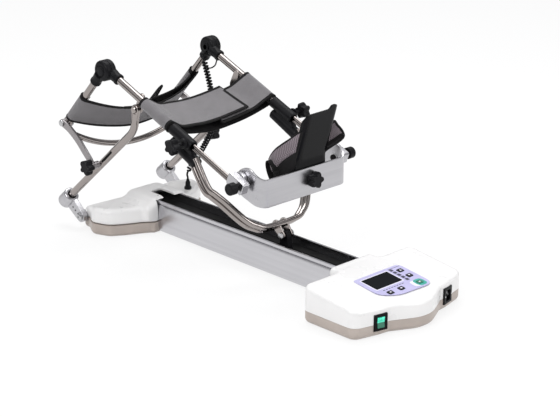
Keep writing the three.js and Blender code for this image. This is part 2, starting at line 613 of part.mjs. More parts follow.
// One side of the frame, as shares down its length and out to the shank tube
const uSideShares = [
  [0.0638, 1.0216], [0.3937, 1.0216], [0.4894, 0.9496], [0.6065, 0.8345], [0.8512, 0.6187], [0.9469, 0.4604], [0.9948, 0.2734],
];
const uSide = uSideShares.map(([down, out]) => [down * uLength, out * shankPlane]);
function uPlace([down, y], shift) {
  return [uTop.x + down * uAlong.x - shift * uAlong.z, y, uTop.z + down * uAlong.z + shift * uAlong.x];
}
function uRod(shift) {
  const there = uSide.map(([down, y]) => uPlace([down, -y], shift));
  const back = [...uSide].reverse().map((place) => uPlace(place, shift));
  return bentTube([...there, ...back], uFrame.tubeRadius, uFrame.bend, 26, 8);
}
function uSockets(sign) {
  const [start, end] = uSide;
  return join(...[-uFrame.spread, uFrame.spread].map((shift) => {
    const from = uPlace([start[0] - seatGap, sign * start[1]], shift);
    return bar(uFrame.socketRadius, from, uPlace([end[0], sign * end[1]], shift));
  }));
}
const forkPin = toMember(carriagePin, kneeAxis, shankSlope);
const forkPlates = sides.map(({ sign }) => sidePlate(lugShape(uLow, forkPin, uFrame.forkRadius, clevis.endRadius),
  sign * clevis.inner, sign * forkOuter));
const forkBore = across(bolt.boreRadius, forkPin, -forkOuter - cutOverrun, forkOuter + cutOverrun);
const uBody = join(uRod(-uFrame.spread), uRod(uFrame.spread), ...forkPlates).subtract(forkBore);
piece(shankFrame, "u_frame", uBody, chrome);

for (const { name, sign } of sides) {
  const plane = sign * shankPlane;
  const center = { x: 0, z: 0 };
  const flat = sign * (hub.gapHalf - seatGap);
  const disc = across(hub.radius, center, sign * hubParts.innerFace, flat, 20);
  const socket = bar(hub.socketRadius, [hubParts.start, plane, 0], [hub.socketLength, plane, 0]);
  const beyond = sign * (hub.gapHalf + hub.socketRadius);
  const clearZone = block(0, hubParts.clear, Math.min(flat, beyond), Math.max(flat, beyond), -hub.radius, hub.radius);
  const bore = bar(frameTubeRadius + seatGap, [shankTube.start - seatGap, plane, 0],
    [hub.socketLength + cutOverrun, plane, 0]);
  const axleBore = across(hub.axleRadius + seatGap, center, sign * (hubParts.innerFace - cutOverrun),
    sign * (hub.gapHalf + cutOverrun));
  const hubBody = join(disc, socket.subtract(clearZone)).subtract(join(bore, axleBore));
  piece(shankFrame, `${name}_knee_hub_inner`, hubBody, blackPlastic);

  const tube = bar(frameTubeRadius, [shankTube.start, plane, 0], [shankTube.end, plane, 0]);
  const hollow = bar(rods.boreRadius, [rods.boreStart, plane, 0], [shankTube.boreEnd, plane, 0]);
  const plateTop = { x: shankTop.x, z: 0 };
  const plate = sidePlate(lugShape(shankTop, plateTop, kneePlate.radius, kneePlate.tubeRadius),
    sign * kneePlate.inner, sign * kneePlate.outer);
  const headEnd = kneePlate.headInner + bolt.headLength;
  const shaft = across(bolt.radius, shankTop, sign * kneePlate.boltInner, sign * headEnd);
  const head = across(bolt.headRadius, shankTop, sign * kneePlate.headInner, sign * headEnd);
  piece(shankFrame, `${name}_shank_tube`, join(tube, plate, shaft, head).subtract(hollow), chrome);

  const sleeve = bar(clamp.radius, [clamp.start, plane, 0], [clamp.end, plane, 0]);
  const blockShape = outlineShape(clampOutline);
  const clampBlock = sidePlate(blockShape, sign * (shankPlane - clamp.half), sign * (shankPlane + clamp.half));
  const sleeveBore = bar(frameTubeRadius + seatGap, [clamp.start - cutOverrun, plane, 0],
    [clamp.end + cutOverrun, plane, 0]);
  const stemBore = across(bolt.boreRadius, knobAt, sign * (shankPlane + frameTubeRadius),
    sign * (shankPlane + clamp.half + cutOverrun));
  const clampBody = sleeve.add(clampBlock).subtract(join(sleeveBore, stemBore, uSockets(sign)));
  piece(shankFrame, `${name}_clamp`, clampBody, blackPlastic);
  piece(shankFrame, `${name}_clamp_knob`, lateralKnob(knobAt, sign, knobFace.y, knobFace.stemInner), blackPlastic);
}
piece(shankFrame, "calf_sling", slingBody(shankPlane, calfSling), meshFabric);

// Foot rods: two thin rods that slide in each shank tube and carry the foot bracket's pivot block
const footPlace = { x: footPivot.along, z: footPivot.up };
const bossPlace = { x: footPlace.x - rodBlock.bossBehind, z: footPlace.z };
const blockBack = footPlace.x - rodBlock.behind;
const blockFront = footPlace.x + rodBlock.ahead;
const [blockLow, blockHigh] = [footPlace.z - rodBlock.reach, footPlace.z + rodBlock.reach];
const cornerCut = rodBlock.corner;
const blockOutline = [
  [blockBack, blockLow + cornerCut], [blockBack + cornerCut, blockLow], [blockFront - cornerCut, blockLow],
  [blockFront, blockLow + cornerCut], [blockFront, blockHigh - cornerCut], [blockFront - cornerCut, blockHigh],
  [blockBack + cornerCut, blockHigh], [blockBack, blockHigh - cornerCut],
];
const footBoss = { reach: 7.2, nutThickness: 2.6, discInner: 156, discOuter: 172, discRadius: 12 };
const bossInner = shankPlane - rodBlock.half - footBoss.reach;
const bracketHalf = bossInner - footBracket.play;
const footNutOuter = bracketHalf - footBracket.thickness - footBracket.play / 2;
const footStemInner = footNutOuter - footBoss.nutThickness;
const earCollar = { radius: 7, inner: 148.4 };
for (const { name, sign } of sides) {
  const plane = sign * shankPlane;
  const pair = [-rods.spacing, rods.spacing].map((up) => bar(
    rods.radius, [rods.start, plane, up], [footPlace.x - rodBlock.bossRadius, plane, up], smallSides));
  const inner = sign * (shankPlane - rodBlock.half);
  const outer = sign * (shankPlane + rodBlock.half);
  const endBlock = sidePlate(outlineShape(blockOutline), inner, outer);
  const boss = across(rodBlock.bossRadius, bossPlace, sign * bossInner, inner);
  const bore = across(bolt.boreRadius, footPlace, sign * footStemInner, outer + sign * cutOverrun);
  piece(shankFrame, `${name}_foot_rods`, join(...pair, endBlock, boss).subtract(bore), castMetal);

  const stem = across(bolt.radius, footPlace, sign * footStemInner, sign * footBoss.discInner);
  const nutDisc = across(bolt.headRadius, footPlace, sign * footStemInner, sign * footNutOuter);
  const collar = across(earCollar.radius, footPlace, sign * earCollar.inner, sign * footBoss.discInner);
  const disc = across(footBoss.discRadius, footPlace, sign * footBoss.discInner, sign * footBoss.discOuter, 20);
  piece(shankFrame, `${name}_ear_knob`, join(stem, nutDisc, collar, disc), blackPlastic);
}

// Foot bracket: a bent plate round the foot with a round ear on each side
const footAt = fromMember(footPlace, kneeAxis, shankSlope);
const earArc = { from: 70, to: 250, count: 9 };
const footGroup = new THREE.Group();
footGroup.position.set(footAt.x + footBracket.ahead, 0, footAt.z - footBracket.drop);
machine.add(footGroup);
const earCentre = { x: -footBracket.ahead, z: footBracket.drop };
function bracketSilhouette() {
  const points = [[seatGap, 0], [seatGap, footBracket.height]];
  for (let i = 0; i <= earArc.count; i += 1) {
    const angle = THREE.MathUtils.degToRad(earArc.from + (i / earArc.count) * (earArc.to - earArc.from));
    const { earRadius } = footBracket;
    points.push([earCentre.x + earRadius * Math.cos(angle), earCentre.z + earRadius * Math.sin(angle)]);
  }
  return outlineShape(points);
}
function roundedLoop(loop, halfLength, halfWidth, round) {
  const [x, y] = [halfLength - round, halfWidth - round];
  const quarter = Math.PI / 2;
  loop.absarc(x, y, round, 0, quarter).absarc(-x, y, round, quarter, 2 * quarter);
  loop.absarc(-x, -y, round, 2 * quarter, 3 * quarter).absarc(x, -y, round, 3 * quarter, 4 * quarter);
  loop.closePath();
  return loop;
}
function makeFootBracket() {
  const half = bracketHalf;
  const { bend, thickness, earRadius } = footBracket;
  const band = roundedLoop(new THREE.Shape(), half, half, bend);
  band.holes.push(roundedLoop(new THREE.Path(), half - thickness, half - thickness, bend - thickness));
  const depth = 2 * earRadius + bend;
  const wall = solid(new THREE.ExtrudeGeometry(band, { depth, bevelEnabled: false, curveSegments: 5 }));
  const reach = half + cutOverrun;
  const body = wall.translate([-half, 0, -bend / 2]).intersect(sidePlate(bracketSilhouette(), -reach, reach));
  const earBore = across(bolt.boreRadius, earCentre, -reach, reach);
  const frontBore = bar(bolt.boreRadius, [-bend, soleOffset, soleKnob.height], [bend, soleOffset, soleKnob.height]);
  return body.subtract(earBore.add(frontBore));
}
const soleFront = -footBracket.thickness - 2 * seatGap;
const soleBack = soleFront - sole.thickness;
const soleKnob = { height: 32, faceGap: 0.6 };
piece(footGroup, "foot_bracket", makeFootBracket(), satinMetal);

const soleStem = bar(bolt.radius, [soleBack - seatGap, soleOffset, soleKnob.height],
  [soleKnob.faceGap + starKnob.round, soleOffset, soleKnob.height], smallSides);
const soleHead = starHead().rotate([0, 90, 0]).translate([soleKnob.faceGap, soleOffset, soleKnob.height]);
piece(footGroup, "foot_star_knob", soleHead.add(soleStem), blackPlastic);

// Sole plate: upright behind the bracket, leaning forward above it
const leanSlope = sole.lean / (sole.leanUp - sole.bendUp);
const leanThickness = sole.thickness * Math.hypot(1, leanSlope);
const soleProfile = [
  [soleBack, sole.foot], [soleFront, sole.foot], [soleFront, sole.bendUp], [soleFront + sole.lean, sole.leanUp],
  [soleFront + sole.lean, sole.top], [soleFront + sole.lean - leanThickness, sole.top], [soleBack, sole.bendUp],
];
const soleFaceShares = [
  [-1, 0], [1, 0], [1, 0.895], [1, 0.975], [0.929, 1], [0.643, 1], [0.548, 0.951], [-0.69, 0.944], [-0.905, 0.907],
  [-1, 0.833],
];
const soleFace = soleFaceShares.map(([out, up]) => [soleOffset + out * sole.half, sole.foot + up * (sole.top - sole.foot)]);
const soleSpan = { low: soleBack - cutOverrun, high: soleFront + sole.lean + cutOverrun };
const soleBore = bar(bolt.boreRadius, [soleSpan.low, soleOffset, soleKnob.height], [cutOverrun, soleOffset, soleKnob.height]);
const soleBody = sidePlate(outlineShape(soleProfile), soleOffset - 2 * sole.half, soleOffset + 2 * sole.half)
  .intersect(lengthBar(outlineShape(soleFace), soleSpan.low, soleSpan.high));
piece(footGroup, "foot_plate", soleBody.subtract(soleBore), blackPlastic);

// Boot: one soft wall from the sole plate's near edge round the heel to its far edge, in shares of its length
const bootieShares = [
  [-0.48, 0.705], [0, 0.705], [0.42, 1], [0.744, 0.836], [0.918, 0.443], [0.953, 0],
  [0.918, -0.443], [0.744, -0.836], [0.42, -1], [0, -0.705], [-0.48, -0.705],
];
const bootieBack = soleBack - seatGap;
const bootiePlan = bootieShares.map(([behind, out]) => [bootieBack - behind * bootie.length, soleOffset + out * bootie.half]);
const backSlope = (sole.lean + sole.thickness - leanThickness) / (sole.top - sole.bendUp);
const bootieTop = { x: bootieBack + (bootie.height - sole.bendUp) * backSlope, z: bootie.height };
const bootieSideShares = [
  [0.28, 0.902], [0.547, 0.759], [0.779, 0.571], [1, 0.489], [1, 0.188], [0.814, 0.113], [0.419, 0.218], [0.257, 0.398],
];
const bootieProfile = [
  [bootieBack, sole.bendUp], [bootieTop.x, bootieTop.z],
  ...bootieSideShares.map(([behind, up]) => [bootieBack - behind * bootie.length, up * bootie.height]),
  [bootieBack, bootie.cuffUp],
];
function insetMiter(outline, distance) {
  return outline.map(([x, y], i) => {
    const [px, py] = outline.at(i - 1);
    const [nx, ny] = outline[(i + 1) % outline.length];
    const before = new THREE.Vector2(x - px, y - py).normalize();
    const after = new THREE.Vector2(nx - x, ny - y).normalize();
    const inward = new THREE.Vector2(-before.y - after.y, before.x + after.x);
    const reach = 2 * distance / inward.lengthSq();
    return [x + inward.x * reach, y + inward.y * reach];
  });
}
const bootieLoop = outlineShape(bootiePlan);
bootieLoop.holes.push(outlineShape(insetMiter(bootiePlan, bootie.wall)));
const bootieWall = solid(new THREE.ExtrudeGeometry(bootieLoop, { depth: bootie.height, bevelEnabled: false }));
const bootieReach = 2 * bootie.half;
const bootieBody = bootieWall.intersect(
  sidePlate(outlineShape(bootieProfile), soleOffset - bootieReach, soleOffset + bootieReach));
piece(footGroup, "bootie", bootieBody, meshFabric);

// Console: two wings round the rail's front end, holding the drive, the board and the control panel
const deskWingShares = [[0.0995, 1.0], [0.7114, 1.0], [0.791, 0.9216], [0.8458, 0.6209], [0.8607, 0.3922]];
const deskNoseShares = [[0.3383, 0.4902], [0.8557, 0.4706], [0.99, 0.1307], [1.0, 0.0523]];
const deskCollarShares = [[0.0, 0.3922], [0.3881, 0.3922]];
function deskPlace(share) {
  return deskBack + share * desk.length;
}
function deskPlan(shares) {
  const right = shares.map(([along, out]) => [deskPlace(along), -out * desk.half]);
  return [...right, ...mirroredOutline(right)];
}
const deskOutlines = [deskWingShares, deskNoseShares, deskCollarShares].map(deskPlan);
function deskTop(x) {
  return desk.top - desk.slope * (x - deskBack);
}
const coverLow = splitHeight + seatGap / 2;
const deskShare = (x) => (deskTop(x) - coverLow) / (desk.top - coverLow);

// Fittings on the facet at the front of each wing
const [facetSide, facetFront] = deskPlan(deskWingShares).slice(2);
const facetTurn = THREE.MathUtils.radToDeg(Math.atan2(facetFront[0] - facetSide[0], facetFront[1] - facetSide[1]));
const facetCorner = { x: facetFront[0], y: -facetFront[1] };
const fitting = { out: 2, deep: 16, bodyHalf: 12.5, plateHalf: 15, low: 12, high: 45 };
function fittingBlock(sign, out0, out1, half, low, high) {
  return block(out0, out1, -half, half, low, high).rotate([0, 0, facetTurn * sign])
    .translate([facetCorner.x, sign * facetCorner.y, 0]);
}
const bodyLow = fitting.low + fitting.out;
const bodyHigh = fitting.high - fitting.out;
const fittingCuts = join(...sides.map(({ sign }) => fittingBlock(
  sign, -fitting.deep, fitting.deep, fitting.bodyHalf + seatGap, bodyLow - seatGap, bodyHigh + seatGap)));
const plateSeat = join(...sides.map(({ sign }) => fittingBlock(
  sign, 0, fitting.deep, fitting.plateHalf + seatGap, fitting.low - seatGap, fitting.high + seatGap)));

const boardSeat = { postRadius: 3.5, inset: 7, low: 22, thickness: 1.6, tallest: 20 };
const boardAlongShares = [0.2985, 0.7363];
const boardOutShares = [0.8366, 0.3137];
const [boardBack, boardFront] = boardAlongShares.map(deskPlace);
const [boardOuter, boardInner] = boardOutShares.map((share) => -share * desk.half);
const boardCorners = [boardBack + boardSeat.inset, boardFront - boardSeat.inset].flatMap(
  (x) => [boardInner - boardSeat.inset, boardOuter + boardSeat.inset].map((y) => [x, y]));
const deskPosts = boardCorners.map(([x, y]) => bar(
  boardSeat.postRadius, [x, y, shellWall - seatGap], [x, y, boardSeat.low - seatGap], smallSides));
const deskTray = makeTray(deskOutlines).add(join(...deskPosts)).subtract(join(railCut, fittingCuts, plateSeat));
piece(machine, "console_tray", deskTray, taupeShell);
const deskCover = makeCover(deskOutlines, desk.top, desk.edgeRound, deskShare);
piece(machine, "console_cover", deskCover.subtract(join(railCut, fittingCuts, plateSeat)), whiteShell);

function fittingPlate(sign) {
  const plate = fittingBlock(sign, seatGap, seatGap + fitting.out, fitting.plateHalf, fitting.low, fitting.high);
  const body = fittingBlock(sign, -fitting.deep, seatGap + fitting.out, fitting.bodyHalf, bodyLow, bodyHigh);
  return plate.add(body);
}
const rocker = { half: 8, low: 18, high: 39, pocket: 12, proud: 3.4, reach: 8, dish: 1.4, play: 0.5 };
const rockerMiddle = (rocker.low + rocker.high) / 2;
const rockerPocket = fittingBlock(-1, -rocker.pocket, fitting.deep, rocker.half + rocker.play,
  rocker.low - rocker.play, rocker.high + rocker.play);
piece(machine, "switch_frame", fittingPlate(-1).subtract(rockerPocket), blackPlastic);
const rockerSide = outlineShape([
  [-rocker.reach, rocker.low + rocker.reach], [0, rocker.low], [rocker.proud, rocker.low],
  [rocker.proud - rocker.dish, rockerMiddle], [rocker.proud, rocker.high], [0, rocker.high],
  [-rocker.reach, rocker.high - rocker.reach],
]);
const rockerBody = sidePlate(rockerSide, -rocker.half, rocker.half).rotate([0, 0, -facetTurn])
  .translate([facetCorner.x, -facetCorner.y, 0]);
piece(machine, "switch_rocker", rockerBody, greenLens);
const inletHole = { half: 9, low: 17, high: 40, depth: 12, prong: 1.2, prongHalf: 2.4, spread: 5 };
const inletPocket = fittingBlock(1, -inletHole.depth, fitting.deep, inletHole.half, inletHole.low, inletHole.high);
const prongs = [-inletHole.spread, 0, inletHole.spread].map((shift, i) => {
  const z = rockerMiddle + (i === 1 ? inletHole.spread : 0);
  return block(-inletHole.depth - inletHole.prong, 0, shift - inletHole.prong, shift + inletHole.prong,
    z - inletHole.prongHalf, z + inletHole.prongHalf).rotate([0, 0, facetTurn])
    .translate([facetCorner.x, facetCorner.y, 0]);
});
piece(machine, "power_inlet", join(fittingPlate(1).subtract(inletPocket), ...prongs), blackPlastic);

// Drive inside the console: a gear box round the screw's end with its motor in front
const gearBox = { clear: 6, length: 42, motorLength: 54, halfWidth: 23, low: 3.4, high: 46, motorRadius: 17, motorHeight: 26 };
const gearBack = rail.front + gearBox.clear;
const gearFront = gearBack + gearBox.length;
const gearBody = block(gearBack, gearFront, -gearBox.halfWidth, gearBox.halfWidth, gearBox.low, gearBox.high);
const motor = bar(gearBox.motorRadius, [gearFront - seatGap, 0, gearBox.motorHeight],
  [gearFront + gearBox.motorLength, 0, gearBox.motorHeight]);
const gearBore = screwLine(screw.boreRadius, gearBack - cutOverrun, screwFront + seatGap);
piece(machine, "gear_motor", gearBody.add(motor).subtract(gearBore), castMetal);

const boardTop = boardSeat.low + boardSeat.thickness;
const board = block(boardBack, boardFront, boardOuter, boardInner, boardSeat.low, boardTop);
// Power supply, controller and relay: where each starts and ends on the board, and how high it stands, in shares
const boardParts = [
  { alongShares: [0.0909, 0.5682], acrossShares: [0.125, 0.55], riseShare: 1 },
  { alongShares: [0.6818, 0.8864], acrossShares: [0.65, 0.875], riseShare: 0.4 },
  { alongShares: [0.1364, 0.4318], acrossShares: [0.675, 0.85], riseShare: 0.7 },
];
const parts = boardParts.map(({ alongShares, acrossShares, riseShare }) => {
  const [x0, x1] = alongShares.map((share) => boardBack + share * (boardFront - boardBack));
  const [y0, y1] = acrossShares.map((share) => boardOuter + share * (boardInner - boardOuter));
  return block(x0, x1, y0, y1, boardSeat.low, boardSeat.low + riseShare * boardSeat.tallest);
});
piece(machine, "control_board", join(board, ...parts), boardGreen);

// Control panel on the sloping top, in a frame whose +X follows the slope
const panelMiddleShare = 0.5672;
const panelMiddle = deskPlace(panelMiddleShare);
const panelAt = { x: panelMiddle, z: deskTop(panelMiddle) };
const panelFrame = memberGroup(panelAt, -Math.atan(desk.slope));
const panel = { half: 46, halfWidth: 64, low: 0.3, high: 1.7 };
const display = { backShare: -0.7826, frontShare: 0.1304, rightShare: -0.8125, leftShare: 0.3125, high: 2.1 };
const [displayBack, displayFront] = [display.backShare * panel.half, display.frontShare * panel.half];
const [displayRight, displayLeft] = [display.rightShare * panel.halfWidth, display.leftShare * panel.halfWidth];
const keys = [
  { name: "key_up", placeShares: [-0.5217, 0.7188], lens: blackPlastic },
  { name: "key_down", placeShares: [0, 0.7188], lens: blackPlastic },
  { name: "key_start", placeShares: [0.6522, 0.6563], lens: greenLens },
  { name: "key_stop", placeShares: [0.6087, -0.125], lens: blackPlastic },
  { name: "key_mode", placeShares: [0.6087, -0.5938], lens: blackPlastic },
];
const key = { half: 7, halfWidth: 8, low: 1, high: 3, corner: 2 };
function keyShape(grow) {
  const [a, b, c] = [key.half + grow, key.halfWidth + grow, key.corner];
  return outlineShape([
    [-a + c, -b], [a - c, -b], [a, -b + c], [a, b - c], [a - c, b], [-a + c, b], [-a, b - c], [-a, -b + c],
  ]);
}
function keyPrism(shape, [alongShare, acrossShare], low, high) {
  const geometry = new THREE.ExtrudeGeometry(shape, { depth: high - low, bevelEnabled: false });
  return solid(geometry.translate(alongShare * panel.half, acrossShare * panel.halfWidth, low));
}
const panelHoles = keys.map((one) => keyPrism(keyShape(seatGap), one.placeShares, -cutOverrun, cutOverrun));
const displayHole = block(displayBack - seatGap, displayFront + seatGap, displayRight - seatGap,
  displayLeft + seatGap, -cutOverrun, cutOverrun);
const panelPlate = block(-panel.half, panel.half, -panel.halfWidth, panel.halfWidth, panel.low, panel.high);
piece(panelFrame, "panel_overlay", panelPlate.subtract(join(displayHole, ...panelHoles)), lavenderPanel);
const glass = block(displayBack, displayFront, displayRight, displayLeft, panel.low, display.high);
piece(panelFrame, "lcd_display", glass, darkGlass);
for (const one of keys) {
  piece(panelFrame, one.name, keyPrism(keyShape(0), one.placeShares, key.low, key.high), one.lens);
}

// Curly cord from the rear base up to the left knee hub
const plug = { x: -342, y: 86, low: rearBase.top + seatGap, high: 84, coilStart: 102, radius: 5.5, collar: 8, collarHigh: 66 };
const plugPlace = (z) => [plug.x, plug.y, z];
const plugBody = bar(plug.radius, plugPlace(plug.low), plugPlace(plug.high));
const plugCollar = bar(plug.collar, plugPlace(plug.low), plugPlace(plug.collarHigh));
piece(machine, "cord_plug", plugBody.add(plugCollar), blackPlastic);

const cord = { radius: 1.35, curlRadius: 4.2, curls: 42, stepsPerCurl: 8, sides: 5, tailShare: 0.045, easeShare: 0.035 };
const hubSide = hubParts.innerFace - seatGap;
const cordRoute = [
  plugPlace(plug.high + seatGap), plugPlace(plug.coilStart), [-341, 89, 200], [-336, 97, 290], [-331, 105, 340],
  [-329, 114, 358], [-329, hubSide, 362],
].map((place) => new THREE.Vector3(...place));
class CurlyCurve extends THREE.Curve {
  constructor(route, settings) {
    super();
    this.middle = new THREE.CatmullRomCurve3(route, false, "centripetal");
    this.settings = settings;
  }

  getPoint(share, target = new THREE.Vector3()) {
    const { curls, curlRadius, tailShare, easeShare } = this.settings;
    const point = this.middle.getPointAt(share);
    const tangent = this.middle.getTangentAt(share);
    const edge = Math.min(share, 1 - share) - tailShare;
    const ease = THREE.MathUtils.smoothstep(edge, 0, easeShare);
    const turn = ((share - tailShare) / (1 - 2 * tailShare)) * curls * 2 * Math.PI;
    const side = new THREE.Vector3(1, 0, 0).addScaledVector(tangent, -tangent.x).normalize();
    const other = tangent.clone().cross(side);
    point.addScaledVector(side, ease * curlRadius * Math.cos(turn));
    point.addScaledVector(other, ease * curlRadius * Math.sin(turn));
    return target.copy(point);
  }
}
const cordCurve = new CurlyCurve(cordRoute, cord);
const cordSteps = Math.round(cord.curls * cord.stepsPerCurl / (1 - 2 * cord.tailShare));
const cordPoints = cordCurve.getPoints(cordSteps);
let leastGap = Infinity;
for (let i = 0; i < cordPoints.length; i += 1) {
  for (let j = i + cord.stepsPerCurl / 2; j < cordPoints.length; j += 1) {
    leastGap = Math.min(leastGap, cordPoints[i].distanceTo(cordPoints[j]) - 2 * cord.radius);
  }
}
console.log(`curly cord: least self-gap ${leastGap.toFixed(2)} mm`);
const cordPath = new THREE.CatmullRomCurve3(cordPoints, false, "centripetal");
const cordShape = circle(cord.radius, cord.sides);
const cordGeometry = new THREE.ExtrudeGeometry(cordShape, {
  steps: cordSteps, bevelEnabled: false, extrudePath: cordPath,
});
piece(machine, "curly_cord", solid(cordGeometry), blackPlastic);

// The part's origin is under the middle of its box, on the floor
machine.updateMatrixWorld(true);
const bounds = new THREE.Box3().setFromObject(machine, true);
const middle = bounds.getCenter(new THREE.Vector3());
machine.position.set(-middle.x, -middle.y, -bounds.min.z);
machine.updateMatrixWorld(true);

export default machine;
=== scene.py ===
import math

import bmesh
import bpy
from mathutils import Matrix, Vector


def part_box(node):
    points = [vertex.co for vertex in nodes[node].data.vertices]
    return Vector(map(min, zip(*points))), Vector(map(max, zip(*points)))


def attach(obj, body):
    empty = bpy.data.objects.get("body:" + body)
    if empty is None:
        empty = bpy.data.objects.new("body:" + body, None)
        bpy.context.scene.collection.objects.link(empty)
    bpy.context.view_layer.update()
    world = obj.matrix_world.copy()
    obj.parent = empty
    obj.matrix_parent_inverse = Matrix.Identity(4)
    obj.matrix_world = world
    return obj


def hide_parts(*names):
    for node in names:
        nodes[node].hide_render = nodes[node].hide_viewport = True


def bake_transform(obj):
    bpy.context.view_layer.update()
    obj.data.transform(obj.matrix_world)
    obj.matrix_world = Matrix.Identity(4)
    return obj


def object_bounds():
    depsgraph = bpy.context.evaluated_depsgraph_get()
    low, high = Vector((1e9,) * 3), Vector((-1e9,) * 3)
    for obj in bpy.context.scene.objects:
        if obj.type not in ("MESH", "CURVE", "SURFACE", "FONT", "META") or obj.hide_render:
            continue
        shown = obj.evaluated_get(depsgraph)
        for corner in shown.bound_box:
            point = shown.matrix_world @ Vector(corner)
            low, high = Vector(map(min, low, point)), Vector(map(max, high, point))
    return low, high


# Knee exerciser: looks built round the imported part. Measurements in the dictionaries are millimetres,
# side-view places are (x, z), and -Y is the patient's right side.
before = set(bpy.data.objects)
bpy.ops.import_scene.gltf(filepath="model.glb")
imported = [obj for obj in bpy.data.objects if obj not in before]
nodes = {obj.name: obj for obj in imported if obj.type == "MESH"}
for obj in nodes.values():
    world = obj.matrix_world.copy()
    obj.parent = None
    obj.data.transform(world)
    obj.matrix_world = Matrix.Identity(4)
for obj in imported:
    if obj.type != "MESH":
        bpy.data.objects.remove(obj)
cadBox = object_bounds()
screwBack = -196
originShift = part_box("lead_screw")[0].x * 1000 - screwBack
sides = [("right", -1, Vector((0, -1, 0))), ("left", 1, Vector((0, 1, 0)))]


def spot(x, y, z):
    return Vector(((x + originShift) / 1000, y / 1000, z / 1000))


def placed(name, data):
    thing = bpy.data.objects.new(name, data)
    bpy.context.scene.collection.objects.link(thing)
    return thing


# camera
photo = {"lens": 112.5, "sensor": 36, "turn": 45.66, "dip": 19.81, "roll": -0.24, "clip": (.05, 40),
         "place": (2.4407, -2.3151, 1.3269)}


def addCamera():
    turn, dip = math.radians(photo["turn"]), math.radians(photo["dip"])
    ahead = Vector((-math.sin(turn) * math.cos(dip), math.cos(turn) * math.cos(dip), -math.sin(dip)))
    data = bpy.data.cameras.new("photoCamera")
    data.lens, data.sensor_width, data.sensor_fit = photo["lens"], photo["sensor"], "HORIZONTAL"
    data.clip_start, data.clip_end = photo["clip"]
    camera = placed("photoCamera", data)
    facing = ahead.to_track_quat("-Z", "Y").to_matrix().to_4x4()
    rolled = Matrix.Rotation(math.radians(photo["roll"]), 4, ahead)
    camera.matrix_world = Matrix.Translation(photo["place"]) @ rolled @ facing
    bpy.context.scene.camera = camera


addCamera()
print("camera placed")


# finishes
def setInputs(node, values):
    for key, value in values.items():
        node.inputs[key.replace("_", " ")].default_value = value


def addNode(tree, kind, source=None, into=None, **values):
    # a shader node with its values set, fed by a source
    node = tree.nodes.new("ShaderNode" + kind)
    setInputs(node, values)
    if source is not None:
        tree.links.new(source, node.inputs[into])
    return node


def surfaceVector(tree, source="Object", stretch=(1, 1, 1)):
    coords = addNode(tree, "TexCoord").outputs[source]
    return addNode(tree, "Mapping", coords, "Vector", Scale=stretch).outputs["Vector"]


def noiseOf(tree, vector, scale, detail=3.0):
    return addNode(tree, "TexNoise", vector, "Vector", Scale=scale, Detail=detail).outputs[0]


def maths(tree, kind, first, second=None):
    node = addNode(tree, "Math")
    node.operation = kind
    for number, value in enumerate((first, second)):
        if isinstance(value, (int, float)):
            node.inputs[number].default_value = value
        elif value is not None:
            tree.links.new(value, node.inputs[number])
    return node.outputs[0]


def ramped(tree, factor, stops):
    ramp = addNode(tree, "ValToRGB", factor, "Fac")
    bands = ramp.color_ramp.elements
    while len(bands) < len(stops):
        bands.new(.5)
    for band, (position, color) in zip(bands, stops):
        band.position = position
        band.color = (*color, 1)
    return ramp.outputs["Color"]


def spread(tree, factor, low, high, start=.3, end=.7):
    node = addNode(tree, "MapRange", factor, "Value", From_Min=start, From_Max=end, To_Min=low, To_Max=high)
    return node.outputs[0]


def colored(tree, shader, noise, dark, light, stops=(.3, .7), socket="Base Color"):
    tree.links.new(ramped(tree, noise, list(zip(stops, (dark, light)))), shader.inputs[socket])


def roughened(tree, shader, noise, low, high):
    tree.links.new(spread(tree, noise, low, high), shader.inputs["Roughness"])


def relief(tree, shader, height, depth):
    bump = addNode(tree, "Bump", height, "Height", Strength=1, Distance=depth)
    tree.links.new(bump.outputs["Normal"], shader.inputs["Normal"])


finish = {}


def newFinish(name, **values):
    material = finish[name] = bpy.data.materials.new(name)
    material.use_nodes = True
    shader = material.node_tree.nodes["Principled BSDF"]
    setInputs(shader, values)
    return material.node_tree, shader


# dark and light colour, roughness range, metal share, grain size per metre, grain depth in metres,
# then extras: coat, shine and the stretch of the grain
finishSheets = {
    "whiteShell": [(.775, .77, .765), (.795, .79, .785), (.26, .32), 0, 700, .00001, {"coat": .25}],
    "taupeShell": [(.40, .345, .31), (.46, .40, .36), (.34, .46), 0, 900, .00004, {"coat": .1}],
    "chromeTube": [(.30, .27, .258), (.40, .365, .35), (.09, .16), 1, 60, .000006, {}],
    "satinRail": [(.54, .535, .56), (.60, .595, .62), (.19, .25), 1, 30, .000002, {"stretch": (.4, 30, 30)}],
    "satinPlate": [(.47, .465, .485), (.53, .525, .545), (.27, .34), 1, 30, .000003,
                   {"stretch": (20, 1, 30)}],
    "greyLink": [(.29, .275, .28), (.37, .35, .355), (.3, .42), .9, 400, .00002, {}],
    "castMetal": [(.30, .30, .31), (.40, .40, .41), (.45, .6), .9, 500, .0001, {}],
    "blackPlastic": [(.006, .006, .007), (.012, .012, .0135), (.3, .42), 0, 1100, .00005, {"shine": .1}],
    "blackGloss": [(.003, .003, .0035), (.006, .006, .007), (.16, .24), 0, 300, .00001, {"shine": .1}],
    "blackRubber": [(.007, .007, .007), (.014, .014, .014), (.5, .65), 0, 1500, .0001, {"shine": .08}],
    "brass": [(.45, .30, .12), (.56, .40, .18), (.25, .4), 1, 200, .00002, {}],
    "steel": [(.46, .46, .47), (.58, .58, .59), (.2, .32), 1, 250, .00002, {}],
    "circuitBoard": [(.008, .06, .025), (.015, .12, .05), (.3, .5), 0, 160, .00006, {}],
    "displayGlass": [(.004, .005, .006), (.008, .009, .011), (.22, .3), 0, 40, .000002, {"shine": .02}],
    "greenLens": [(.002, .09, .05), (.006, .19, .11), (.12, .25), 0, 220, .00004, {"coat": .5}],
}
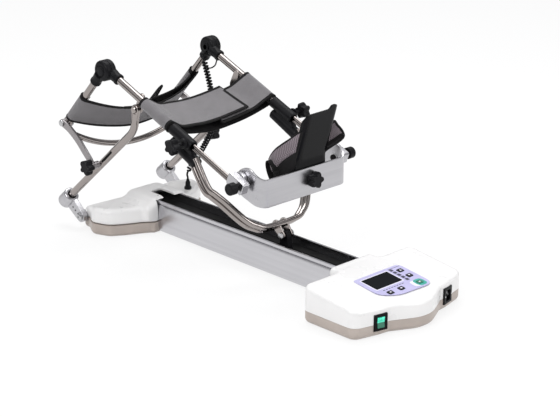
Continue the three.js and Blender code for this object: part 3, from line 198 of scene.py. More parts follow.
for name, (dark, light, rough, metal, grain, depth, extras) in finishSheets.items():
    tree, shader = newFinish(name, Metallic=metal, Coat_Weight=extras.get("coat", 0),
                             Specular_IOR_Level=extras.get("shine", .5))
    vector = surfaceVector(tree, stretch=extras.get("stretch", (1, 1, 1)))
    broad = noiseOf(tree, vector, max(4, grain / 40))
    colored(tree, shader, broad, dark, light)
    roughened(tree, shader, broad, *rough)
    relief(tree, shader, noiseOf(tree, vector, grain, 2), depth)
print("plain finishes made:", len(finish))

# which finish each carried-over node takes, with or without its side's name; the rest are black plastic
nodeFinishes = {
    "satinRail": ["rail"],
    "blackRubber": ["rail_slot_strip"],
    "whiteShell": ["rear_base_cover", "console_cover"],
    "taupeShell": ["rear_base_tray", "console_tray"],
    "satinPlate": ["pivot_bracket", "foot_bracket", "foot_rods"],
    "greyLink": ["link"],
    "chromeTube": ["drive_tube", "cross_arch", "thigh_tube", "shank_tube", "u_frame"],
    "castMetal": ["rear_bearing_block", "gear_motor"],
    "steel": ["pivot_pin", "carriage_pin", "lead_screw"],
    "brass": ["lead_nut"],
    "circuitBoard": ["control_board"],
    "displayGlass": ["lcd_display"],
    "greenLens": ["key_start", "switch_rocker"],
    "blackGloss": ["foot_plate"],
}
finishOfNode = {node: name for name, group in nodeFinishes.items() for node in group}
for nodeName, node in nodes.items():
    plainName = nodeName.removeprefix("right_").removeprefix("left_")
    node.data.materials.clear()
    node.data.materials.append(finish[finishOfNode.get(plainName, "blackPlastic")])
print("carried-over nodes finished:", len(nodes))

# woven and knitted finishes on each piece's own UV, in metres: pitch of the holes, colours, relief and sheen
clothSheets = {
    "greyMesh": (.0027, (.035, .033, .036), (.26, .25, .26), .00035, .25),
    "mauveMesh": (.0046, (.045, .035, .042), (.30, .255, .28), .0006, .25),
    "blackMesh": (.0018, (.004, .004, .004), (.018, .017, .018), .0003, .04),
}
for name, (pitch, hole, thread, depth, sheen) in clothSheets.items():
    tree, shader = newFinish(name, Specular_IOR_Level=.15, Sheen_Weight=sheen, Sheen_Roughness=.5)
    parts = addNode(tree, "SeparateXYZ", surfaceVector(tree, "UV", (1 / pitch,) * 3), "Vector")
    waves = [maths(tree, "MULTIPLY", parts.outputs[axis], math.pi * 2) for axis in "XY"]
    across, along = (maths(tree, "SINE", wave) for wave in waves)
    knit = spread(tree, maths(tree, "MULTIPLY", across, along), 0, 1, -.7, .35)
    worn = noiseOf(tree, surfaceVector(tree), 45, 4)
    shade = maths(tree, "MULTIPLY", knit, spread(tree, worn, .78, 1.12))
    colored(tree, shader, shade, hole, thread, (.05, .85))
    roughened(tree, shader, worn, .72, .95)
    relief(tree, shader, knit, depth)

tree, shader = newFinish("blackBinding", Specular_IOR_Level=.12, Roughness=.8, Sheen_Weight=.05)
binding = noiseOf(tree, surfaceVector(tree), 900, 2)
colored(tree, shader, binding, (.004, .004, .004), (.013, .0125, .013))
relief(tree, shader, binding, .00025)

# the printed film, its inks and a painted highlight: a brighter green that glows on the upper half of the
# rocker
inkSheets = {
    "panelFilm": [(.44, .42, .66), (.50, .48, .72), (.3, .42), 30,
                  {"Coat_Weight": .15, "Coat_Roughness": .3}],
    "panelInk": [(.025, .024, .05), (.05, .048, .09), (.35, .5), 240, {}],
    "paleInk": [(.70, .69, .80), (.78, .77, .87), (.35, .5), 240, {}],
    "greenInk": [(.02, .30, .24), (.04, .40, .33), (.35, .5), 240, {}],
    "greenPaintedHighlight": [(.0, .42, .26), (.08, .85, .58), (.15, .25), 260,
                 {"Coat_Weight": .6, "Emission_Strength": .25}],
}
for name, (dark, light, rough, grain, values) in inkSheets.items():
    tree, shader = newFinish(name, **values)
    ink = noiseOf(tree, surfaceVector(tree), grain)
    colored(tree, shader, ink, dark, light, (.35, .65) if name == "greenPaintedHighlight" else (.3, .7))
    roughened(tree, shader, ink, *rough)
    if name == "panelFilm":
        relief(tree, shader, noiseOf(tree, surfaceVector(tree), 1800), .00002)
    # painted highlight: the upper half of the rocker also glows in its brighter green
    if name == "greenPaintedHighlight":
        colored(tree, shader, ink, (.0, .45, .28), (.1, .9, .62), (.35, .65), "Emission Color")
print("cloths and inks made")

# shaping helpers: where each member starts and its slope, and how far out its tubes run
members = {"lever": ((-435, 28), 41.5), "thigh": ((-453, 240), 47.643), "shank": ((-329, 376), -21.9)}
planes = {"lever": 139, "thigh": 151, "shank": 139}
thighKnee = math.hypot(136, 124)


def sidePlace(member, along, up):
    (x, z), slope = members[member]
    cosine, sine = math.cos(math.radians(slope)), math.sin(math.radians(slope))
    return x + along * cosine - up * sine, z + along * sine + up * cosine


def onMember(member, along, y, up):
    x, z = sidePlace(member, along, up)
    return spot(x, y, z)


def memberPlaces(member, y, places):
    return [onMember(member, along, y, up) for along, up in places]


def memberWay(member, flip=1):
    slope = math.radians(members[member][1])
    return Vector((math.cos(slope), 0, math.sin(slope))) * flip


def roundRoute(corners, bend, steps):
    route = [corners[0]]
    for before, corner, after in zip(corners, corners[1:], corners[2:]):
        back, ahead = before - corner, after - corner
        angle = math.pi - back.angle(ahead)
        reach = min(bend * math.tan(angle / 2), back.length * .48, ahead.length * .48)
        radius = reach / math.tan(angle / 2)
        back.normalize()
        ahead.normalize()
        centre = corner + (back + ahead).normalized() * (radius / math.cos(angle / 2))
        start = corner + back * reach - centre
        axis = ahead.cross(back).normalized()
        route += [centre + Matrix.Rotation(angle * i / steps, 3, axis) @ start for i in range(steps + 1)]
    return route + [corners[-1]]


def smoothRoute(points, steps):
    # a flowing line through the points
    ends = [points[0] * 2 - points[1], *points, points[-1] * 2 - points[-2]]
    route = []
    for a, b, c, d in zip(ends, ends[1:], ends[2:], ends[3:]):
        for t in (i / steps for i in range(steps)):
            bend, twist = 2 * a - 5 * b + 4 * c - d, 3 * b - 3 * c + d - a
            route.append(.5 * (2 * b + (c - a) * t + bend * t * t + twist * t ** 3))
    return route + [points[-1]]


def softStep(value, low, high):
    share = min(1, max(0, (value - low) / (high - low)))
    return share * share * (3 - 2 * share)


def fresh(grown, kind):
    return [thing for thing in grown["geom"] if isinstance(thing, kind)]


def extrudedRing(bm, edges):
    # the new vertices and the edges between them
    grown = bmesh.ops.extrude_edge_only(bm, edges=edges)
    ring, edges = fresh(grown, bmesh.types.BMVert), fresh(grown, bmesh.types.BMEdge)
    inside = set(ring)
    return ring, [edge for edge in edges if edge.verts[0] in inside and edge.verts[1] in inside]


def sweep(route, radius, around=24, radii=None):
    # a ring carried along the route
    bm = bmesh.new()
    tangent = (route[1] - route[0]).normalized()
    ring = bmesh.ops.create_circle(bm, cap_ends=False, radius=radius / 1000, segments=around)["verts"]
    bmesh.ops.rotate(bm, cent=(0, 0, 0), matrix=tangent.to_track_quat("Z", "X").to_matrix(), verts=ring)
    bmesh.ops.translate(bm, vec=route[0], verts=ring)
    edges = list({edge for vert in ring for edge in vert.link_edges})
    first, size = edges, 1.0
    for i in range(1, len(route)):
        ring, edges = extrudedRing(bm, edges)
        bmesh.ops.translate(bm, vec=route[i] - route[i - 1], verts=ring)
        ahead = (route[min(i + 1, len(route) - 1)] - route[i - 1]).normalized()
        bmesh.ops.rotate(bm, cent=route[i], matrix=tangent.rotation_difference(ahead).to_matrix(), verts=ring)
        tangent = ahead
        if radii:
            share = radii(i / (len(route) - 1))
            for vert in ring:
                vert.co = route[i] + (vert.co - route[i]) * (share / size)
            size = share
    for loop in (first, edges):
        bmesh.ops.holes_fill(bm, edges=loop, sides=around)
    return bm


def stood(bm, start, facing):
    bm.transform(Matrix.Translation(start) @ Vector(facing).to_track_quat("Z", "Y").to_matrix().to_4x4())
    return bm


def turned(profile, start, facing, segments=40):
    # (along, radius) millimetres, spun round the facing direction from start
    bm = bmesh.new()
    line = [bm.verts.new((radius / 1000, 0, along / 1000)) for along, radius in profile]
    edges = [bm.edges.new(pair) for pair in zip(line, line[1:])]
    bmesh.ops.spin(bm, geom=line + edges, cent=(0, 0, 0), axis=(0, 0, 1), dvec=(0, 0, 0), angle=2 * math.pi,
                   space=Matrix.Identity(4), steps=segments, use_merge=True, use_normal_flip=False,
                   use_duplicate=False)
    bmesh.ops.remove_doubles(bm, verts=bm.verts, dist=2e-6)
    bmesh.ops.recalc_face_normals(bm, faces=bm.faces)
    return stood(bm, start, facing)


def peg(start, facing, length, radius, edge=1.0, segments=32):
    # a solid peg whose two rims are rounded
    arcs = [(math.sin(math.pi / 2 * i / 3) * edge, math.cos(math.pi / 2 * i / 3) * edge) for i in range(4)]
    profile = [(0, 0), *((edge - cosine, radius - edge + sine) for sine, cosine in arcs),
               *((length - edge + sine, radius - edge + cosine) for sine, cosine in arcs), (length, 0)]
    return turned(profile, start, facing, segments)


def bevel(bm, edges, width, segments):
    bmesh.ops.bevel(bm, geom=edges, offset=width / 1000, affect="EDGES", segments=segments, profile=.5,
                    material=-1)


def slab(outline, depth, edge, segments, raised):
    # an outline of points in one plane, raised along a direction and its rims rounded
    bm = bmesh.new()
    face = bm.faces.new([bm.verts.new(point) for point in outline])
    face.normal_update()
    push = raised * (depth / 1000)
    grown = bmesh.ops.extrude_face_region(bm, geom=[face])
    bmesh.ops.translate(bm, vec=push, verts=fresh(grown, bmesh.types.BMVert))
    bmesh.ops.recalc_face_normals(bm, faces=bm.faces)
    if edge:
        sideways = push.normalized()
        rims = [e for e in bm.edges if abs((e.verts[1].co - e.verts[0].co).normalized().dot(sideways)) < .1]
        bevel(bm, rims, edge, segments)
    return bm


def lug(a, b, radii, y, depth, edge, segments, facing):
    # a flat piece from y on, rounded about two side-view places
    turn = math.atan2(b[1] - a[1], b[0] - a[0])
    points = []
    for (x, z), radius, start in ((a, radii[0], math.pi / 2), (b, radii[1], -math.pi / 2)):
        for i in range(11):
            angle = turn + start + math.pi * i / 10
            points.append(spot(x + radius * math.cos(angle), y, z + radius * math.sin(angle)))
    return slab(points, depth, edge, segments, facing)


def meshOf(bm, name):
    mesh = bpy.data.meshes.new(name)
    bm.to_mesh(mesh)
    bm.free()
    return mesh


def gather(*parts):
    whole = bmesh.new()
    for part in parts:
        mesh = meshOf(part, "part")
        whole.from_mesh(mesh)
        bpy.data.meshes.remove(mesh)
    return whole


def modify(piece, name, kind, **values):
    modifier = piece.modifiers.new(name, kind)
    for key, value in values.items():
        setattr(modifier, key, value)


def makePiece(name, bm, body, look, *stands, sharp=38, looks=None):
    for face in bm.faces:
        face.smooth = True
    for edge in bm.edges:
        if len(edge.link_faces) == 2 and edge.calc_face_angle(0) > math.radians(sharp):
            edge.smooth = False
    mesh = meshOf(bm, name)
    for one in looks or [look]:
        mesh.materials.append(finish[one])
    piece = placed(name, mesh)
    if body:
        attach(piece, body)
    if sharp < 80:
        modify(piece, "flats", "WEIGHTED_NORMAL", keep_sharp=True, weight=80)
    if stands:
        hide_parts(*stands)
    return piece


# drive levers: bracket at the hip pivot, bent tube, flattened eye under the knee
hip, linkHead, linkFoot = (-435, 28), (-453, 240), (-359, 166)
driveTube = {"radius": 8, "route": [(-23.5, 52), (296, 52), (326, 77)], "bend": .052, "root": (313, 67),
             "rootRadius": 7.6, "eye": (332.2, 82.7), "eyeRadius": 10.5, "eyeThickness": 8.8,
             "slot": (164, 204), "slotWidth": 5.2, "sunk": 1.4}
pivotBracket = {"inner": 131.6, "outer": 143.6, "hip": 13, "head": 15, "headPlace": (-12, 52),
                "headRadius": 17, "headAlong": (-30, 6), "holes": (.34, .52, .7), "hole": 1.9,
                "mouth": [(0, 8.1), (0, 10.4), (1.1, 10.1), (1.2, 8.1)]}
pivotPin = {"inner": 104, "profile": [
    (0, 0), (0, 5), (24.9, 5), (24.9, 13), (27.3, 13), (27.3, 5), (39.9, 5), (39.9, 8.4), (40.5, 9),
    (42, 8.8), (43.4, 7), (43.9, 4.6), (43.9, 3), (42.4, 2.6), (42.4, 0)]}


def thinned(share):
    # the tube is thinner towards its flattened end
    return 1 - .18 * max(0, share - .85) / .15


for name, sign, outward in sides:
    out, axis = sign * planes["lever"], memberWay("lever")
    route = roundRoute(memberPlaces("lever", out, driveTube["route"]), driveTube["bend"], 12)
    thickness, half = driveTube["eyeThickness"], driveTube["slotWidth"] / 2
    eye = lug(sidePlace("lever", *driveTube["root"]), sidePlace("lever", *driveTube["eye"]),
              (driveTube["rootRadius"], driveTube["eyeRadius"]), sign * (planes["lever"] - thickness / 2),
              thickness, 2.2, 3, outward)
    makePiece(f"{name}DriveTube", gather(sweep(route, driveTube["radius"], 32, thinned), eye), "drive_lever",
              "chromeTube", f"{name}_drive_tube")
    slotEnds = [sidePlace("lever", along, 52) for along in driveTube["slot"]]
    liner = lug(*slotEnds, (half, half), sign * (planes["lever"] + driveTube["radius"] - driveTube["sunk"]),
                1.6, .3, 2, outward)
    makePiece(f"{name}SlotLiner", liner, "drive_lever", "blackRubber")

    inner, outer = pivotBracket["inner"], pivotBracket["outer"]
    plate = lug(sidePlace("lever", 0, 0), sidePlace("lever", *pivotBracket["headPlace"]),
                (pivotBracket["hip"], pivotBracket["head"]), sign * inner, outer - inner, 1.6, 3, outward)
    back, front = pivotBracket["headAlong"]
    head = peg(onMember("lever", back, out, 52), axis, front - back, pivotBracket["headRadius"], 4, 40)
    makePiece(f"{name}PivotBracket", gather(plate, head), "drive_lever", "satinPlate",
              f"{name}_pivot_bracket")
    mouths = [turned(pivotBracket["mouth"], onMember("lever", front - .1, out, 52), axis)]
    # painted shade: thin black discs on the plate stand in for the dark inside of its holes
    for share in pivotBracket["holes"]:
        along, up = pivotBracket["headPlace"]
        mouth = onMember("lever", share * along, sign * outer, share * up) - outward * .0004
        mouths.append(peg(mouth, outward, .7, pivotBracket["hole"], .2, 16))
    makePiece(f"{name}BracketMouths", gather(*mouths), "drive_lever", "blackRubber")
    pin = turned(pivotPin["profile"], spot(hip[0], sign * pivotPin["inner"], hip[1]), outward)
    makePiece(f"{name}PivotPin", pin, "base", "steel", f"{name}_pivot_pin")
print("drive levers shaped")

# links and the arch between them
linkSheet = {"bends": [linkHead, (-430, 231), (-404, 214), (-382, 194), (-364, 177), (-359, 166)], "half": 8,
             "inner": 162.4, "thickness": 5.6, "bolt": [
                 (0, 0), (0, 11), (.6, 11.5), (2.6, 11.5), (3.2, 11), (3.2, 4), (24, 4), (24, 6.4), (24.8, 7),
                 (27, 6.6), (27.6, 5), (27.8, 0)]}
arch = {"end": (-414, 221), "low": (-412, 176), "half": 162.1, "radius": 6.5, "steps": 40}
line = smoothRoute([Vector((x, 0, z)) for x, z in linkSheet["bends"]], 6)
edges = {1: [], -1: []}
for i, point in enumerate(line):
    ahead = (line[min(i + 1, len(line) - 1)] - line[max(i - 1, 0)]).normalized()
    square = Vector((-ahead.z, 0, ahead.x)) * linkSheet["half"]
    for flank in edges:
        edges[flank].append(point + square * flank)
halfTurns = [Matrix.Rotation(math.pi * i / 9, 3, "Y") for i in range(1, 9)]
linkLoop = edges[1] + [line[-1] + turn @ (edges[1][-1] - line[-1]) for turn in halfTurns]
linkLoop += edges[-1][::-1] + [line[0] + turn @ (edges[-1][0] - line[0]) for turn in halfTurns]
for name, sign, outward in sides:
    outline = [spot(p.x, sign * linkSheet["inner"], p.z) for p in linkLoop]
    strap = slab(outline, linkSheet["thickness"], 1.2, 2, outward)
    foot = peg(spot(linkFoot[0], sign * 147.5, linkFoot[1]), outward, 20.5, 8, 1)
    head = peg(spot(linkHead[0], sign * 154.3, linkHead[1]), outward, 13.7, 8, 1)
    makePiece(f"{name}Link", gather(strap, foot, head), "links", "greyLink", f"{name}_link")
    bolt = turned(linkSheet["bolt"], spot(linkHead[0], sign * 144.4, linkHead[1]), outward)
    makePiece(f"{name}LinkBolt", gather(bolt), "links", "steel")
(archX, archZ), drop = arch["low"], arch["end"][1] - arch["low"][1]
bow = (arch["half"] ** 2 + drop ** 2) / (2 * drop)
archLine = []
for i in range(arch["steps"] + 1):
    y = arch["half"] * (2 * i / arch["steps"] - 1)
    rise = bow - math.sqrt(bow * bow - y * y)
    archLine.append(spot(archX + rise / drop * (arch["end"][0] - archX), y, archZ + rise))
makePiece("crossArch", sweep(archLine, arch["radius"], 28), "links", "chromeTube", "cross_arch")
print("links and arch shaped")

# knee hubs: two halves of a thick disc, each with a flared neck for its tube
hubSheet = {
    "inside": 131.5, "outside": 145.3, "axle": 128.7, "neckFrom": 14,
    "neck": [(0, 0), (0, 12.6), (6, 12.2), (12, 11.4), (19, 11), (21, 11.9), (25.2, 11.9), (26, 11.2),
             (26, 8.3), (22, 8.2), (22, 0)],
    "discIn": [(0, 6.4), (0, 17), (1, 19.6), (3, 21.4), (5, 22), (12.2, 22), (13.2, 21.3), (13.2, 6.4)],
    "discOut": [(0, 0), (0, 21.3), (1, 22), (7.6, 22), (10.4, 21.2), (12.4, 19.2), (13.2, 16.6), (13.2, 13.4),
                (12.2, 13), (12.2, 11.2), (13.4, 10.6), (15.2, 9.6), (15.7, 8), (15.7, 0)],
    "cap": [(0, 0), (0, 7.4), (.7, 9.3), (2.5, 10), (2.5, 0)],
}


def hubNeck(member, start, way, sign):
    out = sign * planes[member]
    return turned(hubSheet["neck"], onMember(member, start, out, 0), memberWay(member, way), 36)


for name, sign, outward in sides:
    disc = turned(hubSheet["discIn"], onMember("shank", 0, sign * hubSheet["inside"], 0), outward, 48)
    neck = hubNeck("shank", hubSheet["neckFrom"], 1, sign)
    makePiece(f"{name}HubInner", gather(disc, neck), "shank_frame", "blackPlastic", f"{name}_knee_hub_inner")
    axlePlace = onMember("thigh", thighKnee, sign * hubSheet["axle"], 0)
    discPlace = onMember("thigh", thighKnee, sign * hubSheet["outside"], 0)
    disc = turned(hubSheet["discOut"], discPlace, outward, 48)
    neck = hubNeck("thigh", thighKnee - hubSheet["neckFrom"], -1, sign)
    hubParts = [disc, peg(axlePlace, outward, 20, 6, .5), turned(hubSheet["cap"], axlePlace, outward), neck]
    makePiece(f"{name}HubOuter", gather(*hubParts), "thigh_frame", "blackPlastic", f"{name}_knee_hub_outer")
print("knee hubs shaped")

# thigh and shank tubes
legTubes = {"radius": 8, "thigh": (8, 13, 60, thighKnee - 22), "shank": (23, 80, 200, 276), "eyeInner": 148,
            "ear": (-241, 310), "earInner": 128.5, "boltInner": 131, "bolt": [
                (0, 0), (0, 4), (12.9, 4), (12.9, 6.6), (13.6, 7), (15.4, 6.8), (16.6, 5.6), (16.9, 3),
                (16.9, 0)]}
for name, sign, outward in sides:
    tubes = {}
    for member in ("thigh", "shank"):
        route = memberPlaces(member, sign * planes[member], [(along, 0) for along in legTubes[member]])
        tubes[member] = sweep(route, legTubes["radius"], 32)
    eye = lug(linkHead, sidePlace("thigh", 10, 0), (12, 8), sign * legTubes["eyeInner"], 6, 1.6, 3, outward)
    makePiece(f"{name}ThighTube", gather(tubes["thigh"], eye), "thigh_frame", "chromeTube",
              f"{name}_thigh_tube")
    x, z = legTubes["ear"]
    ear = lug((x, z), sidePlace("shank", 106.2, 0), (10, 8), sign * legTubes["earInner"], 5.5, 1.4, 3,
              outward)
    bolt = turned(legTubes["bolt"], spot(x, sign * legTubes["boltInner"], z), outward)
    makePiece(f"{name}ShankTube", gather(tubes["shank"], ear, bolt), "shank_frame", "chromeTube",
              f"{name}_shank_tube")
print("leg tubes shaped")

# clamps, star knobs and the U frame
starSheet = {"radius": 15, "lobes": 5, "dip": .36, "rises": [(2, 2.2), (9.5, .8), (3.5, -.6), (2, -2.2)],
             "neck": [(-3.2, 0), (-3.2, 6.2), (0, 8.4), (2, 8.8), (2, 0)], "stem": 3.9,
             "linkPlace": 168.3, "clampPlace": 172, "footPlace": (108.6, 19, 210)}
clampSheet = {
    "web": [(236, -4), (236, -24), (292, -26), (292, -14), (277, -4)], "webThickness": 14,
    "sleeve": [(0, 8.4), (0, 11.2), (.8, 12), (62, 12), (64.4, 11.4), (65, 8.4)],
    "lowSleeve": [(0, 0), (0, 9.4), (2.4, 11.6), (76, 12.4), (79, 11.8), (80, 10), (80, 0)],
    "boss": [(0, 0), (0, 11), (3, 10.2), (4.4, 9), (4.4, 0)],
}


def starKnob(start, facing, stem):
    facing = Vector(facing)
    count = starSheet["lobes"] * 12
    bm = bmesh.new()
    rim = []
    for i in range(count):
        angle = 2 * math.pi * i / count
        hollow = ((1 - math.cos(starSheet["lobes"] * angle)) / 2) ** 1.1
        reach = starSheet["radius"] * (1 - starSheet["dip"] * hollow)
        rim.append(bm.verts.new((reach * math.cos(angle) / 1000, reach * math.sin(angle) / 1000, 0)))
    face = bm.faces.new(rim)
    for rise, grow in starSheet["rises"]:
        grown = bmesh.ops.extrude_face_region(bm, geom=[face])
        if face.is_valid:
            bm.faces.remove(face)
        face = fresh(grown, bmesh.types.BMFace)[0]
        for vert in face.verts:
            vert.co += Vector((vert.co.x, vert.co.y, 0)).normalized() * (grow / 1000)
        bmesh.ops.translate(bm, vec=(0, 0, rise / 1000), verts=list(face.verts))
    bmesh.ops.inset_region(bm, faces=[face], thickness=.003, depth=0)
    bmesh.ops.translate(bm, vec=(0, 0, -.0008), verts=list(face.verts))
    bmesh.ops.holes_fill(bm, edges=[e for e in bm.edges if e.is_boundary], sides=count)
    bmesh.ops.scale(bm, vec=(.97, .97, 1.04), verts=bm.verts)
    bmesh.ops.recalc_face_normals(bm, faces=bm.faces)
    neck = turned(starSheet["neck"], start + facing * .0029, facing, 32)
    shaft = peg(start - facing * (stem / 1000), facing, stem + 2, starSheet["stem"], .5, 20)
    return gather(stood(bm, start, facing), neck, shaft)


for name, sign, outward in sides:
    out = sign * planes["shank"]
    knob = starKnob(spot(linkFoot[0], sign * starSheet["linkPlace"], linkFoot[1]), outward, 28.9)
    makePiece(f"{name}LinkKnob", knob, f"{name}_link_grip", "blackPlastic", f"{name}_link_knob")
    knob = starKnob(onMember("shank", 267, sign * starSheet["clampPlace"], 0), outward, 24)
    makePiece(f"{name}ClampKnob", knob, f"{name}_clamp_grip", "blackPlastic", f"{name}_clamp_knob")
    sleeve = turned(clampSheet["sleeve"], onMember("shank", 217, out, 0), memberWay("shank"), 40)
    webInner = sign * (planes["shank"] - clampSheet["webThickness"] / 2)
    web = slab(memberPlaces("shank", webInner, clampSheet["web"]), clampSheet["webThickness"], 2.4, 3,
               outward)
    lowStart = onMember("shank", 226, out, -23)
    lowSleeve = turned(clampSheet["lowSleeve"], lowStart, onMember("shank", 306, out, -27) - lowStart, 40)
    boss = turned(clampSheet["boss"], onMember("shank", 267, sign * 151.6, 0), outward, 36)
    makePiece(f"{name}Clamp", gather(sleeve, web, lowSleeve, boss), "shank_frame", "blackPlastic",
              f"{name}_clamp")

uSheet = {"side": [(12, 142), (74, 142), (92, 132), (114, 116), (160, 86), (178, 64), (187, 38)],
          "radius": 6.3, "spread": 7.6, "top": (-70, 255), "low": (37.5, 100.8), "pin": (54, 83),
          "pinInner": -16.8, "pinProfile": [
              (0, 0), (0, 5.4), (.6, 7), (3.4, 7), (4, 6), (4, 4), (29.6, 4), (29.6, 6), (30.2, 7), (33, 7),
              (33.6, 5.4), (33.6, 0)]}


def uPlace(down, y, shift):
    (x0, z0), (x1, z1) = uSheet["top"], uSheet["low"]
    length = math.hypot(x1 - x0, z1 - z0)
    ux, uz = (x1 - x0) / length, (z1 - z0) / length
    return spot(x0 + down * ux - shift * uz, y, z0 + down * uz + shift * ux)


uParts = []
uBends = [(down, -y) for down, y in uSheet["side"]] + uSheet["side"][::-1]
for shift in (-uSheet["spread"], uSheet["spread"]):
    uParts.append(sweep(smoothRoute([uPlace(down, y, shift) for down, y in uBends], 7), uSheet["radius"], 26))
for _, sign, outward in sides:
    uParts.append(lug(uSheet["low"], uSheet["pin"], (11.4, 8), sign * 8.5, 4, .9, 2, outward))
uParts.append(sweep([uPlace(187, -14, 0), uPlace(187, 14, 0)], 7, 20))
makePiece("uFrame", gather(*uParts), "shank_frame", "chromeTube", "u_frame")
pin = turned(uSheet["pinProfile"], spot(uSheet["pin"][0], uSheet["pinInner"], uSheet["pin"][1]), (0, 1, 0))
makePiece("carriagePin", pin, "carriage", "steel", "carriage_pin")
print("clamps, knobs and U frame shaped")

# foot rods, their pivot blocks and round side knobs
rodSheet = {
    "along": (172, 411), "spacing": 3.7, "radius": 3.2, "blockInner": 130, "bossInner": 122.8,
    "knobInner": 115, "block": [(396, -3), (399, -6), (438, -6), (441, -3), (441, 17), (438, 20), (399, 20),
                                (396, 17)],
    "boss": [(0, 4.4), (0, 16.2), (.8, 17), (6.4, 17), (7.4, 15.8), (7.4, 4.4)],
    "knob": [(0, 0), (0, 7), (2.6, 7), (2.6, 4), (33.4, 4), (33.4, 7), (41, 7), (41, 10.6), (42, 12),
             (55, 12), (56.4, 11.2), (57, 9.6), (57, 8.4), (56, 7.6), (56, 0)],
}
for name, sign, outward in sides:
    rods = []
    for up in (-rodSheet["spacing"], rodSheet["spacing"]):
        ends = [(along, up) for along in rodSheet["along"]]
        rods.append(sweep(memberPlaces("shank", sign * planes["shank"], ends), rodSheet["radius"], 18))
    makePiece(f"{name}FootRods", gather(*rods), "foot_slide", "chromeTube")
    blockPlan = memberPlaces("shank", sign * rodSheet["blockInner"], rodSheet["block"])
    block = slab(blockPlan, 18, 1.6, 3, outward)
    boss = turned(rodSheet["boss"], onMember("shank", 412, sign * rodSheet["bossInner"], 7), outward, 44)
    makePiece(f"{name}RodBlock", gather(block, boss), "foot_slide", "satinPlate", f"{name}_foot_rods")
    knob = turned(rodSheet["knob"], onMember("shank", 428, sign * rodSheet["knobInner"], 7), outward, 40)
    makePiece(f"{name}EarKnob", knob, f"{name}_ear_grip", "blackPlastic", f"{name}_ear_knob")
knob = starKnob(spot(*starSheet["footPlace"]), (1, 0, 0), 10.8)
makePiece("footStarKnob", knob, "foot_knob", "blackPlastic", "foot_star_knob")
print("foot rods shaped")


# shells, rail and panel
def roundPlan(corners, steps=7):
    # closed plan of (x, y, radius) corners, run anticlockwise
    loop = []
    for i, (x, y, radius) in enumerate(corners):
        corner = Vector((x, y))
        back = Vector(corners[i - 1][:2]) - corner
        ahead = Vector(corners[(i + 1) % len(corners)][:2]) - corner
        opening = back.angle(ahead)
        if math.pi - opening < .02 or radius <= 0:
            loop.append(corner)
            continue
        reach = min(radius / math.tan(opening / 2), back.length * .5, ahead.length * .5)
        radius = reach * math.tan(opening / 2)
        back.normalize()
        ahead.normalize()
        centre = corner + (back + ahead).normalized() * (radius / math.sin(opening / 2))
        start, end = corner + back * reach - centre, corner + ahead * reach - centre
        turn = start.angle_signed(end)
        for a in (-turn * j / steps for j in range(steps + 1)):
            loop.append(centre + Vector((start.x * math.cos(a) - start.y * math.sin(a),
                                         start.x * math.sin(a) + start.y * math.cos(a))))
    area = sum(a.x * b.y - b.x * a.y for a, b in zip(loop, loop[1:] + loop[:1]))
    return loop if area > 0 else loop[::-1]


def inwardOf(loop):
    # the way in at each place of a plan
    ways = []
    for i, here in enumerate(loop):
        before, after = here - loop[i - 1], loop[(i + 1) % len(loop)] - here
        arriving = (before if before.length else after).normalized()
        leaving = (after if after.length else before).normalized()
        way = Vector((-arriving.y - leaving.y, arriving.x + leaving.x))
        ways.append(way * (2 / max(way.length_squared, .8)))
    return ways


def shell(loop, levels, heightAt=None):
    # levels of (inset, z): the plan raised through them as one closed shell
    ways = inwardOf(loop)
    bm = bmesh.new()

    def place(i, inset, z):
        x, y = loop[i].x, loop[i].y
        return spot(x + ways[i].x * inset, y + ways[i].y * inset, heightAt(x, y, z) if heightAt else z)

    order = [bm.verts.new(place(i, *levels[0])) for i in range(len(loop))]
    firstRim = edges = [bm.edges.new(pair) for pair in zip(order, order[1:] + order[:1])]
    for level in levels[1:]:
        ring, edges = extrudedRing(bm, edges)
        follow = {}
        for vert in ring:
            for edge in vert.link_edges:
                follow[edge.other_vert(vert)] = vert
        order = [follow[vert] for vert in order]
        for i, vert in enumerate(order):
            vert.co = place(i, *level)
    for rim in (firstRim, edges):
        bmesh.ops.triangle_fill(bm, edges=rim, use_beauty=True, use_dissolve=False)
    bmesh.ops.recalc_face_normals(bm, faces=bm.faces)
    return bm


def domed(low, high, rim, steps=6):
    levels = [(0, low)]
    for angle in (math.pi / 2 * i / steps for i in range(steps + 1)):
        levels.append((rim * (1 - math.cos(angle)), high - rim + rim * math.sin(angle)))
    return levels + [(rim + .8, high)]


def mirrorPlan(half):
    return roundPlan([*half, *[(x, -y, radius) for x, y, radius in reversed(half)]])


def settled(thing, *tools):
    # what an object's modifiers leave of it; the objects themselves are cleared away
    bpy.context.view_layer.update()
    result = bmesh.new()
    result.from_mesh(thing.evaluated_get(bpy.context.evaluated_depsgraph_get()).to_mesh())
    for one in (thing, *tools):
        mesh = one.data
        bpy.data.objects.remove(one)
        bpy.data.meshes.remove(mesh)
    return result


def carve(bm, cutter):
    body, tool = (placed("carve", meshOf(one, "carve")) for one in (bm, cutter))
    modify(body, "carve", "BOOLEAN", operation="DIFFERENCE", object=tool, solver="EXACT")
    return settled(body, tool)


def softened(bm, voxel, rounds):
    # one blended moulding from overlapping solids
    thing = placed("soften", meshOf(bm, "soften"))
    modify(thing, "remesh", "REMESH", mode="VOXEL", voxel_size=voxel / 1000)
    modify(thing, "smooth", "SMOOTH", factor=.5, iterations=rounds)
    return settled(thing)


def box(x0, x1, y0, y1, z0, z1, edge=0):
    bm = bmesh.new()
    bmesh.ops.create_cube(bm, size=1)
    low, high = spot(x0, y0, z0), spot(x1, y1, z1)
    bmesh.ops.scale(bm, vec=high - low, verts=bm.verts)
    bmesh.ops.translate(bm, vec=(low + high) / 2, verts=bm.verts)
    if edge:
        bevel(bm, bm.edges, edge, 2)
    return bm


